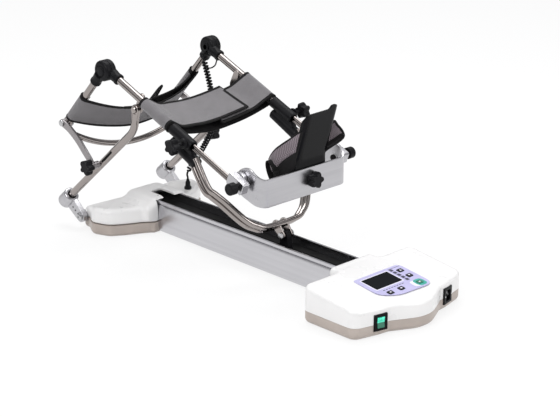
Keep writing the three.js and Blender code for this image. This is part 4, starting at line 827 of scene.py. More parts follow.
# rail: grooved lip, rounded flank and a ledge for the strip
railSheet = {"back": -384, "front": 268, "half": 34, "low": 3, "high": 72, "groove": 2, "flankHigh": 63,
             "grooveHigh": 67, "wall": 4, "floor": 7,
             "flank": [(7, 0), (12, 1.6), (18, 2.5), (26, 3), (34, 3.1), (42, 2.9), (48, 2.5), (54, 1.8),
                       (59, 1), (63, 0)]}


def railProfile():
    half, inner, grooved = (railSheet["half"] - less for less in (0, railSheet["wall"], railSheet["groove"]))
    low, high, flankHigh = railSheet["low"], railSheet["high"], railSheet["flankHigh"]
    flank = smoothRoute([Vector((half + out, z)) for z, out in railSheet["flank"]], 3)
    side = [(half - 3, low), (half - 1.2, low + .8), (half, low + 4),
            *(tuple(place) for place in flank[1:-1]), (half, flankHigh), (grooved, flankHigh),
            (grooved, railSheet["grooveHigh"]), (half, railSheet["grooveHigh"]), (half, high - .8),
            (half - .8, high), (inner + .6, high), (inner, high - .6), (inner, railSheet["floor"])]
    return [*side, *[(-y, z) for y, z in reversed(side)]]


railEnd = [spot(railSheet["back"], y, z) for y, z in railProfile()]
railBar = slab(railEnd, railSheet["front"] - railSheet["back"], 0, 2, Vector((1, 0, 0)))
makePiece("railBar", railBar, "base", "satinRail", "rail", sharp=24)

# rear base: two lobes, a saddle over the rail and an ear at each end
rearSheet = {
    "split": 25, "gap": .35, "top": 60, "rim": 9, "earTop": 47, "saddleTop": 76.3, "saddleHalf": 50,
    "back": -404, "front": -300, "voxel": 2.6, "rounds": 34,
    "plan": [(-404, -42, 46), (-448, -126, 9.6), (-423, -128, 14), (-389, -147, 20), (-350, -132, 28),
             (-331, -102, 40), (-317, -72, 50), (-306, -52, 14), (-300, -46, 4)],
    "tray": [(9.2, 0), (8, 0), (5.2, .5), (2.4, 2.4), (.6, 5.2), (0, 8), (0, 24), (.5, 24.65)],
    "ear": [(0, 0), (0, 10), (24, 11.5), (28, 11.5), (29, 10.6), (29, 5.4)], "earInner": 100,
    "railCut": (-384, -290, -37.5, 37.5, 0, 72.4),
    "slot": [(-352, -15, 7), (-280, -15, 0), (-280, 15, 0), (-352, 15, 7)],
    "screws": [(-330, -112, 60.2, 1.5), (-330, 112, 60.2, 1.5), (-318, -20.5, 75.95, 1.3),
               (-318, 20.5, 75.95, 1.3)],
}


def rearHeight(x, y, z):
    split, top = rearSheet["split"], rearSheet["top"]
    if z < split + 6:
        return z
    drop = softStep(-x, 400, 444) * softStep(abs(y), 70, 122)
    return z - (z - split) / (top - split) * drop * (top - rearSheet["earTop"])


def saddle(half, back, top, rim):
    front = rearSheet["front"] + .6
    plan = roundPlan([(back, -half, 20), (front, -half, 3), (front, half, 3), (back, half, 20)])
    return shell(plan, domed(30, top, rim))


rearLoop = mirrorPlan(rearSheet["plan"])
rearLevels = domed(rearSheet["split"] + rearSheet["gap"], rearSheet["top"], rearSheet["rim"])
rearBody = shell(rearLoop, rearLevels, rearHeight)
saddleBody = saddle(rearSheet["saddleHalf"], rearSheet["back"], rearSheet["saddleTop"], 17)
apron = saddle(66, rearSheet["back"] + 2, 67, 15)
rearCover = softened(gather(rearBody, saddleBody, apron), rearSheet["voxel"], rearSheet["rounds"])
rearCover = carve(rearCover, box(*rearSheet["railCut"]))
rearCover = carve(rearCover, shell(roundPlan(rearSheet["slot"]), [(0, 60), (0, 82)]))
makePiece("rearBaseCover", rearCover, "base", "whiteShell", "rear_base_cover", sharp=50)
makePiece("rearBaseTray", shell(rearLoop, rearSheet["tray"]), "base", "taupeShell", "rear_base_tray",
          sharp=50)
for name, sign, outward in sides:
    earPlace = spot(hip[0], sign * rearSheet["earInner"], hip[1])
    makePiece(f"{name}Ear", turned(rearSheet["ear"], earPlace, outward), "base", "whiteShell")
screws = [peg(spot(x, y, z), (0, 0, 1), .5, radius, .2, 14) for x, y, z, radius in rearSheet["screws"]]
makePiece("rearCoverScrews", gather(*screws), "base", "steel")
print("rail and rear base shaped")

# console: wings and nose in one rounded shell
deskSheet = {
    "split": 25, "gap": .35, "top": 79, "slope": .124, "slopeFrom": 232, "rim": 10.5, "facet": (402, 95),
    "turn": 13.45, "plan": [(230, -60, 11), (252, -60, 10), (252, -153, 17), (388, -153, 21),
                            (402.4, -93, 30), (405, -71, 16),
             (432.8, -17, 66)],
    "tray": [(11.5, 0), (10, 0), (6.4, .7), (3, 3), (.8, 6.4), (0, 10), (0, 24), (.5, 24.65)],
    "pocket": (-20, 20, -15.4, 15.4, 11.6, 45.4), "coverCut": (200, 268.5, -37.5, 37.5, 0, 72.4),
    "trayCut": (200, 268.5, -36.8, 36.8, 2.5, 60),
}


def deskHeight(x, y, z):
    split, full = deskSheet["split"], deskSheet["top"] - deskSheet["split"]
    here = deskSheet["top"] - deskSheet["slope"] * (x - deskSheet["slopeFrom"]) - split
    return split + (z - split) * here / full if z > split else z


def onFacet(bm, sign):
    # moves a fitting made at the origin onto one of the two facets
    turn, (x, y) = math.radians(deskSheet["turn"] * sign), deskSheet["facet"]
    bmesh.ops.rotate(bm, cent=spot(0, 0, 0), matrix=Matrix.Rotation(turn, 3, "Z"), verts=bm.verts)
    bmesh.ops.translate(bm, vec=(x / 1000, sign * y / 1000, 0), verts=bm.verts)
    return bm


deskLoop = mirrorPlan(deskSheet["plan"])
deskLevels = domed(deskSheet["split"] + deskSheet["gap"], deskSheet["top"], deskSheet["rim"], 8)
deskCover = shell(deskLoop, deskLevels, deskHeight)
deskTray = shell(deskLoop, deskSheet["tray"])
for _, sign, _ in sides:
    deskCover = carve(deskCover, onFacet(box(*deskSheet["pocket"]), sign))
    deskTray = carve(deskTray, onFacet(box(*deskSheet["pocket"]), sign))
deskCover = carve(deskCover, box(*deskSheet["coverCut"]))
deskTray = carve(deskTray, box(*deskSheet["trayCut"]))
makePiece("consoleCover", deskCover, "base", "whiteShell", "console_cover", sharp=40)
makePiece("consoleTray", deskTray, "base", "taupeShell", "console_tray", sharp=40)

# power switch and inlet on the two facets
fittingSheet = {
    "block": (-16, 2.2, -15, 15, 12, 45, 1.2), "rockerHole": (-12, 20, -8.6, 8.6, 17.4, 39.6),
    "paintedHighlightFrom": .0285, "rocker": [(-8, 25.6), (0, 18), (3.2, 18), (1.8, 28.5), (3.2, 39), (0, 39), (-8, 31)],
    "inletHole": [(-12, -9, 0), (14, -9, 0), (14, 9, 0), (-12, 9, 0)],
    "inletLevels": [(0, 17), (0, 36), (3.4, 40)], "prongs": [(-5, 0), (0, 4.5), (5, 0)],
    "screws": [(1.9, -12, 28.5), (1.9, 12, 28.5)],
}
switchFrame = carve(box(*fittingSheet["block"]), box(*fittingSheet["rockerHole"]))
makePiece("switchFrame", onFacet(switchFrame, -1), "base", "blackGloss", "switch_frame")
rocker = slab([spot(x, -8, z) for x, z in fittingSheet["rocker"]], 16, .6, 2, Vector((0, 1, 0)))
onFacet(rocker, -1)
# painted highlight: faces above this height take the brighter, glowing green
for face in rocker.faces:
    face.material_index = int(face.calc_center_median().z > fittingSheet["paintedHighlightFrom"])
makePiece("switchRocker", rocker, "power_rocker", "greenLens", "switch_rocker",
          looks=["greenLens", "greenPaintedHighlight"])
inletHole = shell(roundPlan(fittingSheet["inletHole"]), fittingSheet["inletLevels"])
inletFrame = carve(box(*fittingSheet["block"]), inletHole)
prongs = [box(-13, -1, y - 1.2, y + 1.2, 26 + lift, 31 + lift, .4) for y, lift in fittingSheet["prongs"]]
plateScrews = [peg(spot(*place), (1, 0, 0), .9, 1.7, .4, 16) for place in fittingSheet["screws"]]
makePiece("powerInlet", onFacet(inletFrame, 1), "base", "blackPlastic", "power_inlet")
makePiece("inletProngs", onFacet(gather(*prongs, *plateScrews), 1), "base", "steel")
print("console shaped")

# control panel: film, window, printed marks and keys
panelSheet = {"middle": (346, 64.864), "tilt": math.atan(.124), "keyHalf": (5.6, 6.6),
              "film": [(-46, -64, 5), (22, -64, 26), (44, -30, 60), (46, 30, 70), (46, 64, 22),
                       (-46, 64, 12)],
              "keys": {"up": (-24, 46), "down": (0, 46), "start": (30, 42), "stop": (28, -8),
                       "mode": (28, -38)}}


def onPanel(a, b, h):
    (x, z), tilt = panelSheet["middle"], panelSheet["tilt"]
    return spot(x + a * math.cos(tilt) + h * math.sin(tilt), b, z - a * math.sin(tilt) + h * math.cos(tilt))


def panelPatch(corners, low, high, edge=0):
    up = (onPanel(0, 0, 1) - onPanel(0, 0, 0)).normalized()
    return slab([onPanel(p.x, p.y, low) for p in roundPlan(corners, 6)], high - low, edge, 2, up)


def patch(a0, a1, b0, b1, corner, low, high, edge=0):
    corners = [(a, b, corner) for a, b in ((a0, b0), (a1, b0), (a1, b1), (a0, b1))]
    return panelPatch(corners, low, high, edge)


makePiece("panelFilm", panelPatch(panelSheet["film"], .25, 1.5, .25), "base", "panelFilm", "panel_overlay")
makePiece("panelWindow", patch(-36, 6, -52, 20, 1.5, 1.3, 2.1, .3), "base", "displayGlass", "lcd_display")
rims = [patch(-38.5, 8.5, -54.5, 22.5, 2.5, 1.5, 1.62), patch(19, 41, 22, 40, 7, 1.5, 1.62)]
makePiece("panelPale", gather(*rims), "base", "paleInk")
marks = [patch(-38 + 10.5 * i, -30 + 10.5 * i, 27, 35, .6, 1.5, 1.64) for i in range(5)]
marks += [patch(14, 16, -44 + 7.4 * i, -39 + 7.4 * i, .3, 1.5, 1.62) for i in range(8)]
marks.append(patch(-40, -39, 27, 60, .3, 1.5, 1.62))
makePiece("panelMarks", gather(*marks), "base", "panelInk")
makePiece("panelGreen", patch(18, 42, 31, 55, 8, 1.5, 1.66), "base", "greenInk")
half, wide = panelSheet["keyHalf"]
for word, (a, b) in panelSheet["keys"].items():
    cap = patch(a - half, a + half, b - wide, b + wide, 2, 1, 2.9, .5)
    look = "greenLens" if word == "start" else "blackPlastic"
    makePiece(f"key{word.title()}Cap", cap, f"key_{word}_cap", look, f"key_{word}")
    if word in ("up", "down"):
        tip = -2.6 if word == "up" else 2.6
        mark = panelPatch([(a + tip, b, .2), (a - tip, b - 2.8, .2), (a - tip, b + 2.8, .2)], 2.85, 2.98)
    else:
        mark = patch(a - 1.6, a + 1.6, b - 2.4, b + 2.4, .2 if word == "stop" else 1.5, 2.85, 2.98)
    makePiece(f"key{word.title()}Sign", mark, f"key_{word}_cap", "paleInk")
print("panel shaped")


# fabric: the two slings, the boot and the cords
def lineLength(line):
    return sum((b - a).length for a, b in zip(line, line[1:]))


def sheetOf(places):
    # a grid laid through rows of places, with its own UV in metres
    rows, columns = len(places), len(places[0])
    bm = bmesh.new()
    uv = bm.loops.layers.uv.new("weave")
    bmesh.ops.create_grid(bm, x_segments=columns - 1, y_segments=rows - 1, size=.5)
    down, across = [0.0], []
    for before, row in zip(places, places[1:]):
        down.append(down[-1] + (row[columns // 2] - before[columns // 2]).length)
    for row in places:
        line = [0.0]
        for a, b in zip(row, row[1:]):
            line.append(line[-1] + (b - a).length)
        across.append([value - line[-1] / 2 for value in line])
    spots = {}
    for vert in bm.verts:
        spots[vert] = round((vert.co.y + .5) * (rows - 1)), round((vert.co.x + .5) * (columns - 1))
    for face in bm.faces:
        for loop in face.loops:
            row, column = spots[loop.vert]
            loop[uv].uv = (across[row][column], down[row])
    for vert, (row, column) in spots.items():
        vert.co = places[row][column]
    return bm


def flatSize(places):
    return lineLength(places[len(places) // 2]), lineLength([row[len(row) // 2] for row in places])


def clothPiece(name, places, body, looks, thickness, *stands, flip=False, bound=(0, 0)):
    # bound: how many millimetres of the sides and of the far end are covered by the binding tape
    bm = sheetOf(places)
    weave = bm.loops.layers.uv["weave"]
    length, width = flatSize(places)
    for face in bm.faces:
        u, v = (sum(loop[weave].uv[axis] for loop in face.loops) / len(face.loops) for axis in (0, 1))
        besides = bound[0] and min(v, width - v) < bound[0] / 1000
        if besides or bound[1] and u > length / 2 - bound[1] / 1000:
            face.material_index = 2
    if flip:
        bmesh.ops.reverse_faces(bm, faces=bm.faces)
    piece = makePiece(name, bm, body, looks[0], *stands, sharp=180, looks=looks)
    modify(piece, "thickness", "SOLIDIFY", thickness=thickness / 1000, offset=0, use_even_offset=True,
           material_offset=1, material_offset_rim=2 if len(looks) > 2 else 1)
    return piece


def bindings(name, places, body, radius, ends=(False, False)):
    # a folded black tape along the sheet's edges
    wanted = [places[0], places[-1]]
    wanted += [[row[end] for row in places] for end, bound in zip((0, -1), ends) if bound]
    return makePiece(name, gather(*[sweep(route, radius, 10) for route in wanted]), body, "blackBinding")


def slingLayer(name, places, body, weave, thickness, tape, held, rests, *stands, ends=(False, False),
               flip=False, bound=(0, 0)):
    # a black-backed web with its binding tape
    looks = ["blackMesh", weave, "blackBinding"]
    sheet = clothPiece(name, places, body, looks, thickness, *stands, flip=flip, bound=bound)
    edging = bindings(name.replace("Layer", "") + "Tape", places, body, tape, ends)


def slingLine(plane, wrap, sag, endTurn):
    # (y, up) across the sling: over one tube, down its outer side, across the sag and up the other
    leave, endTurn, turns, samples = math.radians(-60), math.radians(endTurn), 14, 44
    edge, edgeUp = plane + wrap * math.cos(leave), wrap * math.sin(leave)
    line = []
    for angle in (endTurn + (leave - endTurn) * i / turns for i in range(turns)):
        line.append((-(plane + wrap * math.cos(angle)), wrap * math.sin(angle)))
    for y in (-edge + 2 * edge * i / samples for i in range(samples + 1)):
        line.append((y, edgeUp - sag * (1 - (y / edge) ** 2)))
    for angle in (leave + (endTurn - leave) * i / turns for i in range(1, turns + 1)):
        line.append((plane + wrap * math.cos(angle), wrap * math.sin(angle)))
    return line


def slingPlaces(member, sheet, line, droop=0):
    # the line repeated along the member, with the sling's belly and a slight wave
    places = []
    plane, (start, end) = planes[member], sheet["along"]
    for share in (row / sheet["rows"] for row in range(sheet["rows"] + 1)):
        places.append([])
        for y, up in line:
            middle = 1 - (abs(y) / plane) ** 2 if abs(y) < plane else 0
            pull = -sheet["belly"] * middle * (2 * share - 1)
            curl = -droop * middle * (2 * share - 1) ** 4
            wave = .5 * math.sin(y * .06 + share * 5) * middle
            places[-1].append(onMember(member, start + share * (end - start) + pull, y, up - curl + wave))
    return places


thigh = {"wrap": 9.6, "along": (15, 92), "sag": 44, "belly": 5, "rows": 30}
thighPlaces = slingPlaces("thigh", thigh, slingLine(planes["thigh"], thigh["wrap"], thigh["sag"], 205), -3)
slingLayer("thighSling", thighPlaces, "thigh_frame", "greyMesh", 2.6, 1.9, "stretched",
           ["rightThighTube", "leftThighTube"], "thigh_sling", flip=True, bound=(5, 0))

# the inner layer of the far half, and the loose end of the near half laid over it
thighLayers = {
    "thighFlap": {"from": 138, "step": -4.1, "along": (22, 86), "rise": (6, 7), "drawn": 8, "round": 0},
    "thighLooseEnd": {"from": -60, "step": 4.6, "along": (26, 74), "rise": (5, 30), "drawn": 4, "round": 9},
}
for layerName, layer in thighLayers.items():
    flapPlaces = []
    low, high = layer["along"]
    for share in (row / 8 for row in range(9)):
        line = []
        for i in range(30):
            y = layer["from"] + i * layer["step"]
            base = -8 - thigh["sag"] * (1 - (y / 155.8) ** 2)
            freed = softStep(i, 8, 29)
            rise = layer["rise"][0] + layer["rise"][1] * freed + 3 * share
            corner = layer["round"] * (1 - math.sqrt(1 - max(0, i - 26) ** 2 / 9)) * (1 - 2 * share)
            along = low + share * (high - low) - layer["drawn"] * freed + corner
            line.append(onMember("thigh", along, y, base + rise))
        flapPlaces.append(line)
    slingLayer(layerName, flapPlaces, "thigh_frame", "blackMesh", 2.4, 2.4, "laid", ["thighSling"],
               ends=(False, True))
print("thigh sling shaped")

# calf sling: a black under layer, and two grey layers that lap over each other on top
calf = {"wrap": 9.6, "along": (122, 212), "sag": 26, "belly": 3, "rows": 34, "topWrap": 11.6, "topFrom": -75,
        "topTo": 100, "topSag": 24, "samples": 40}
underPlaces = slingPlaces("shank", calf, slingLine(planes["shank"], calf["wrap"] - 1, calf["sag"] + 9, 250))
slingLayer("calfUnderLayer", underPlaces, "shank_frame", "blackMesh", 2.6, 1.7, "stretched",
           ["rightShankTube", "leftShankTube"], "calf_sling")


def calfTopLine(sign, endY, lift, sag):
    # wraps the outer side of one tube, goes over it and on across the calf
    plane, wrap, samples = planes["shank"], calf["topWrap"], calf["samples"]
    line = []
    for i in range(16):
        angle = math.radians(calf["topFrom"] + (calf["topTo"] - calf["topFrom"]) * i / 15)
        line.append((sign * (plane + wrap * math.cos(angle)), wrap * math.sin(angle)))
    overY = plane + wrap * math.cos(math.radians(calf["topTo"]))
    overUp = wrap * math.sin(math.radians(calf["topTo"]))
    for i in range(1, samples + 1):
        y = overY + (sign * endY - overY) * i / samples
        share = (overY - y) / (2 * overY)
        dip = 4 * share * (1 - share)
        fall = overUp * (1 - softStep(share, 0, .16)) - 2
        line.append((sign * y, fall - sag * dip + lift * softStep(share, .05, .3)))
    return line


def calfTopPlaces(sign, backEnd, frontEnd, lift, sag, hump=0, narrow=0):
    # the free end rises by the hump at the back and is drawn narrower towards the front
    start, end = calf["along"]
    places = []
    for share in (row / calf["rows"] for row in range(calf["rows"] + 1)):
        line = calfTopLine(sign, backEnd + (frontEnd - backEnd) * share, lift, sag)
        spots = []
        for i, (y, up) in enumerate(line):
            reach = i / (len(line) - 1)
            raised = hump * softStep(reach, .5, .95) * (.16 + .84 * (1 - share) ** 1.5)
            belly = calf["belly"] * math.sin(math.pi * reach) * (1 - 2 * share)
            drawn = narrow * share * softStep(reach, .5, 1)
            spots.append(onMember("shank", start + share * (end - start) + belly - drawn, y, up + raised))
        places.append(spots)
    return places


farPlaces = calfTopPlaces(1, 8, 8, 0, calf["topSag"])
slingLayer("calfFarLayer", farPlaces, "shank_frame", "greyMesh", 2.4, 1.8, "stretched", ["leftShankTube"],
           ends=(True, True), flip=True, bound=(5, 4))
nearPlaces = calfTopPlaces(-1, 70, 84, 5, calf["topSag"] - 1, 5, 10)
slingLayer("calfNearLayer", nearPlaces, "shank_frame", "greyMesh", 2.4, 1.8, "stretched", ["rightShankTube"],
           ends=(True, True), bound=(5, 5))
print("calf sling shaped")

# foot end: bracket, sole plate and boot
footPlace = {"ear": (70.72, 222.855), "ahead": 37.28, "drop": 44.86}
footAt = (footPlace["ear"][0] + footPlace["ahead"], footPlace["ear"][1] - footPlace["drop"])


def onFoot(x, y, z):
    return spot(footAt[0] + x, y, footAt[1] + z)


footOrigin = onFoot(0, 0, 0)
bracketSheet = {"half": 122, "bend": 22, "thickness": 4, "height": 56, "ear": 32, "rows": 14, "face": -2,
                "bolt": [(0, 4.2), (0, 8.6), (.8, 9.2), (1.6, 8.8), (1.6, 4.2)],
                "washer": [(0, 4.2), (0, 10), (.6, 10.6), (1.6, 10.2), (1.6, 4.2)]}


def bracketSpan(x):
    # lowest and highest place of the bracket at a distance behind its front
    middle, up = -footPlace["ahead"], footPlace["drop"]
    radius, height = bracketSheet["ear"], bracketSheet["height"]
    (topX, topZ), (lowX, lowZ) = ((middle + radius * math.cos(math.radians(angle)),
                                   up + radius * math.sin(math.radians(angle))) for angle in (70, 250))
    arc = math.sqrt(max(0, radius ** 2 - (x - middle) ** 2))
    low = up - arc if x < lowX else lowZ * (x / lowX)
    return low, up + arc if x < topX else height + (topZ - height) * (x / topX)


face, earEnd = bracketSheet["face"], -footPlace["ahead"] - bracketSheet["ear"]
half, bend, wall = bracketSheet["half"] - 2, bracketSheet["bend"] - 2, bracketSheet["thickness"]
plan = [(earEnd + (face - bend - earEnd) * (1 - math.cos(math.pi / 2 * i / 24)), -half) for i in range(25)]
plan += [(face - bend + bend * math.sin(math.radians(a)), -half + bend - bend * math.cos(math.radians(a)))
         for a in range(9, 91, 9)]
side = plan[:35]
plan += [(face, y) for y in range(-95, 96, 5)] + [(x, -y) for x, y in reversed(side)]
bracketRows = []
for share in (row / bracketSheet["rows"] for row in range(bracketSheet["rows"] + 1)):
    spans = [(x, y, *bracketSpan(x)) for x, y in plan]
    bracketRows.append([onFoot(x, y, low + share * (high - low)) for x, y, low, high in spans])
bracketBody = sheetOf(bracketRows)
bmesh.ops.remove_doubles(bracketBody, verts=bracketBody.verts, dist=2e-5)
bracket = makePiece("footBracket", bracketBody, "foot_holder", "satinPlate", "foot_bracket", sharp=60)
modify(bracket, "thickness", "SOLIDIFY", thickness=wall / 1000, offset=0, use_even_offset=True)
modify(bracket, "rims", "BEVEL", width=.0009, segments=2, limit_method="ANGLE", angle_limit=math.radians(50))
washers = [turned(bracketSheet["bolt"], onFoot(.1, 19, 32), (1, 0, 0), 28)]
for _, sign, outward in sides:
    earPlace = spot(footPlace["ear"][0], sign * 118.4, footPlace["ear"][1])
    washers.append(turned(bracketSheet["washer"], earPlace, -outward, 32))
makePiece("bracketWashers", gather(*washers), "foot_holder", "steel")

soleSheet = {
    "middle": 19, "half": 42, "front": -4.6, "thickness": 5, "foot": 22, "bend": 70, "top": 184,
    "slope": 30.7 / 105, "plan": [(-1, 0, 6), (1, 0, 6), (1, .9, 0), (1, 1.0, 7), (.62, 1.0, 7),
                                  (.54, .95, 8), (-.80, .945, 6), (-1, .85, 6)],
    "cutsY": [*range(-22, -8, 2), -7, -4, *range(52, 61, 3)], "cutsZ": (64, 67, 70, 73, 76, 100, 130, 160),
}
soleMiddle, soleHeight = soleSheet["middle"], soleSheet["top"] - soleSheet["foot"]
outline = roundPlan([(soleMiddle + a * soleSheet["half"], soleSheet["foot"] + b * soleHeight, radius)
                     for a, b, radius in soleSheet["plan"]], 5)
outline = [onFoot(soleSheet["front"], p.x, p.y) for p in outline]
soleBody = slab(outline, soleSheet["thickness"], 0, 2, Vector((-1, 0, 0)))
cuts = [((0, y, 0), (0, 1, 0)) for y in soleSheet["cutsY"]]
cuts += [((0, 0, z), (0, 0, 1)) for z in soleSheet["cutsZ"]]
for place, way in cuts:
    everything = [*soleBody.verts, *soleBody.edges, *soleBody.faces]
    bmesh.ops.bisect_plane(soleBody, geom=everything, plane_co=onFoot(*place), plane_no=way)
for vert in soleBody.verts:
    up = (vert.co.z - footOrigin.z) * 1000
    out = vert.co.y * 1000 - (soleMiddle - soleSheet["half"])
    lean = max(0, up - soleSheet["bend"])
    lean = lean * lean / 12 if lean < 6 else lean - 3
    fold = max(0, 15 - out) ** 2 * .03 * softStep(up, 60, 95) + max(0, 7 - (84 - out)) ** 2 * .03
    vert.co.x += (lean * soleSheet["slope"] - min(fold, 5.5)) / 1000
bmesh.ops.recalc_face_normals(soleBody, faces=soleBody.faces)
sole = makePiece("solePlate", soleBody, "foot_rest", "blackGloss", "foot_plate", sharp=30)
modify(sole, "rims", "BEVEL", width=.0011, segments=3, limit_method="ANGLE", angle_limit=math.radians(40))

# boot: its plan, and how low and high its rims run from the plate (0) to the heel (1)
bootSheet = {
    "length": 86.1, "half": 61, "height": 133, "back": -9.9, "rows": 18, "sole": (4, 26), "thickness": .0042,
    "plan": [(0, .705), (.42, 1), (.744, .836), (.918, .443), (.953, 0), (.918, -.443), (.744, -.836),
             (.42, -1), (0, -.705)],
    "high": [(0, 1.08), (.12, .93), (.4, .72), (.756, .48), (1, .44)],
    "low": [(0, .586), (.257, .398), (.419, .218), (.814, .113), (1, .188)],
}
wingSheet = {"start": .5, "out": 34, "ahead": 14, "lean": 6, "narrow": .22}


def between(table, value):
    for (a, b), (c, d) in zip(table, table[1:]):
        if value <= c:
            return b + (d - b) * ((value - a) / (c - a))
    return table[-1][1]


def eased(table, value):
    return sum(between(table, min(1, max(0, value + step))) for step in (-.08, -.04, 0, .04, .08)) / 5


length, half, back = bootSheet["length"], bootSheet["half"] - 2, bootSheet["back"]
rim = smoothRoute([Vector((back - a * length, soleMiddle - b * half, 0)) for a, b in bootSheet["plan"]], 9)
bootPlaces = []
for share in (row / bootSheet["rows"] for row in range(bootSheet["rows"] + 1)):
    line = []
    for point in rim:
        behind = (back - point.x) / length
        low, high = (eased(bootSheet[edge], behind) * bootSheet["height"] for edge in ("low", "high"))
        z = low + (high - low) * share
        lean = max(0, z - soleSheet["bend"]) * soleSheet["slope"] * max(0, 1 - behind * 2.4)
        puff = 3.2 * math.sin(math.pi * share) - 2.4
        centred = Vector((point.x + 40, point.y - soleMiddle, 0))
        waist = wingSheet["narrow"] * (1 - softStep(share, 0, .55)) * softStep(behind, .1, .5)
        out = centred.normalized() * puff - centred * waist
        # the far side opens outwards past the plate
        wing = 1 - softStep(behind, 0, wingSheet["start"]) if centred.y > 0 else 0
        opened = softStep(share, .12, .5) * (1 - .45 * max(0, share / .55 - .82) ** 2)
        bulge = math.sin(math.pi * min(1, share * 1.2))
        out.y += wing * wingSheet["out"] * opened
        out.x += wing * (wingSheet["ahead"] * bulge - wingSheet["lean"] * share)
        line.append(onFoot(point.x + lean + out.x, point.y + out.y, z))
    bootPlaces.append(line)
bootBody = sheetOf(bootPlaces)
bmesh.ops.reverse_faces(bootBody, faces=bootBody.faces)
weave = bootBody.loops.layers.uv["weave"]
for face in bootBody.faces:
    farSide = face.calc_center_median().y > soleMiddle / 1000
    if min(loop[weave].uv.y for loop in face.loops) < bootSheet["sole"][farSide] / 1000:
        face.material_index = 2
boot = makePiece("bootWall", bootBody, "foot_rest", "mauveMesh", "bootie", sharp=180,
                 looks=["mauveMesh", "mauveMesh", "blackBinding", "blackMesh", "blackBinding"])
modify(boot, "thickness", "SOLIDIFY", thickness=bootSheet["thickness"], offset=0, use_even_offset=True,
       material_offset=1, material_offset_rim=2)
bindings("bootTape", bootPlaces, "foot_rest", 2.6, ends=(True, True))

# black heel cup round the foot of the wall, left open at its near end, and the strap loop at the near side
cupPlaces = []
for row, line in enumerate(bootPlaces[:7]):
    cupPlaces.append([])
    for place in line[:-8]:
        out = (place - onFoot(-40, soleMiddle, (place.z - footOrigin.z) * 1000)).normalized() * .0028
        behind = (back - (place.x - footOrigin.x) * 1000) / length
        drop = .018 * (1 - softStep(behind, .15, .6)) * (1 - row / 6)
        cupPlaces[-1].append(place + out - Vector((0, 0, drop)))
heelCup = clothPiece("heelCup", cupPlaces, "foot_rest", ["blackMesh", "blackMesh", "blackBinding"], 2.0)
strapSheet = {"centre": (-46, 50), "side": -64, "half": (9, 24), "width": 14, "tilt": .45, "thickness": 1.8}
(x, z), (wide, tall), tilt = strapSheet["centre"], strapSheet["half"], strapSheet["tilt"]
strapLoop = []
for angle in (2 * math.pi * i / 32 for i in range(33)):
    a, b = wide * math.cos(angle), tall * math.sin(angle)
    strapLoop.append(onFoot(x + a * math.cos(tilt) - b * math.sin(tilt), soleMiddle + strapSheet["side"],
                            z + a * math.sin(tilt) + b * math.cos(tilt)))
strapPlaces = [[place + Vector((0, (share - .5) * strapSheet["width"] / 1000, 0)) for place in strapLoop]
               for share in (0, .33, .67, 1)]
strap = clothPiece("heelStrap", strapPlaces, "foot_rest", ["blackBinding", "blackBinding"],
                   strapSheet["thickness"])
print("foot end shaped")

# cords
plugSheet = {"place": (-342, 86, 60.3), "profile": [
    (0, 0), (0, 8), (4, 8), (5.7, 7.2), (6.2, 5.6), (15, 5.5), (17, 4.6), (17.4, 4), (20, 3.8), (20.4, 3.1),
    (22.6, 2.9), (23, 2.4), (23.7, 2.1), (23.7, 0)]}
plug = turned(plugSheet["profile"], spot(*plugSheet["place"]), (0, 0, 1), 28)
makePiece("cordPlug", plug, "base", "blackPlastic", "cord_plug")
cordSheet = {
    "radius": 2.1, "curl": 4.9, "curls": 42, "perCurl": 14, "tail": .045, "ease": .035,
    "route": [(-342, 86, 84.3), (-341, 87, 102), (-314, 105, 155), (-289, 114, 215), (-300, 119, 285),
              (-318, 121, 335), (-328, 123, 356), (-329, 131.2, 362)],
    "tie": [(-5, 1.2), (-5, 5.4), (-4, 6), (4, 6), (5, 5.4), (5, 1.2)],
    "relief": [(0, 0), (0, 4.4), (2, 4.2), (6, 3), (11, 1.9), (11, 0)],
}


def evenRoute(points, count):
    fine = smoothRoute(points, 60)
    reach = [0.0]
    for a, b in zip(fine, fine[1:]):
        reach.append(reach[-1] + (b - a).length)
    route, j = [], 0
    for i in range(count + 1):
        want = reach[-1] * i / count
        while j < len(fine) - 2 and reach[j + 1] < want:
            j += 1
        route.append(fine[j].lerp(fine[j + 1], (want - reach[j]) / (reach[j + 1] - reach[j])))
    return route


tail, coiled = cordSheet["tail"], 1 - 2 * cordSheet["tail"]
cordSteps = round(cordSheet["curls"] * cordSheet["perCurl"] / coiled)
middleLine = evenRoute([spot(*place) for place in cordSheet["route"]], cordSteps)
cordLine = []
for i, place in enumerate(middleLine):
    share = i / cordSteps
    tangent = (middleLine[min(i + 1, cordSteps)] - middleLine[max(i - 1, 0)]).normalized()
    side = (Vector((1, 0, 0)) - tangent * tangent.x).normalized()
    other = tangent.cross(side)
    ease = softStep(min(share, 1 - share) - tail, 0, cordSheet["ease"])
    turn = (share - tail) / coiled * cordSheet["curls"] * 2 * math.pi
    curl = side * math.cos(turn) + other * math.sin(turn)
    cordLine.append(place + curl * (ease * cordSheet["curl"] / 1000))
cut = round(cordSteps / 2)
joint = middleLine[cut]
lowerLine, upperLine = cordLine[:cut + 1], cordLine[cut:]
radius = cordSheet["radius"]
lowerCord = makePiece("curlyCordLower", sweep(lowerLine, radius, 8), None, "blackPlastic", "curly_cord",
                      sharp=80)
upperCord = makePiece("curlyCordUpper", sweep(upperLine, radius, 8), None, "blackPlastic", sharp=80)
cordTie = makePiece("curlyCordTie", gather(turned(cordSheet["tie"], joint, middleLine[cut + 4] - joint, 24)),
                    "drive_lever", "blackRubber")
cordRelief = turned(cordSheet["relief"], spot(-329, 131.6, 362), (0, -1, -.1), 20)
makePiece("curlyCordRelief", cordRelief, "shank_frame", "blackRubber")
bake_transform(lowerCord)
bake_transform(upperCord)

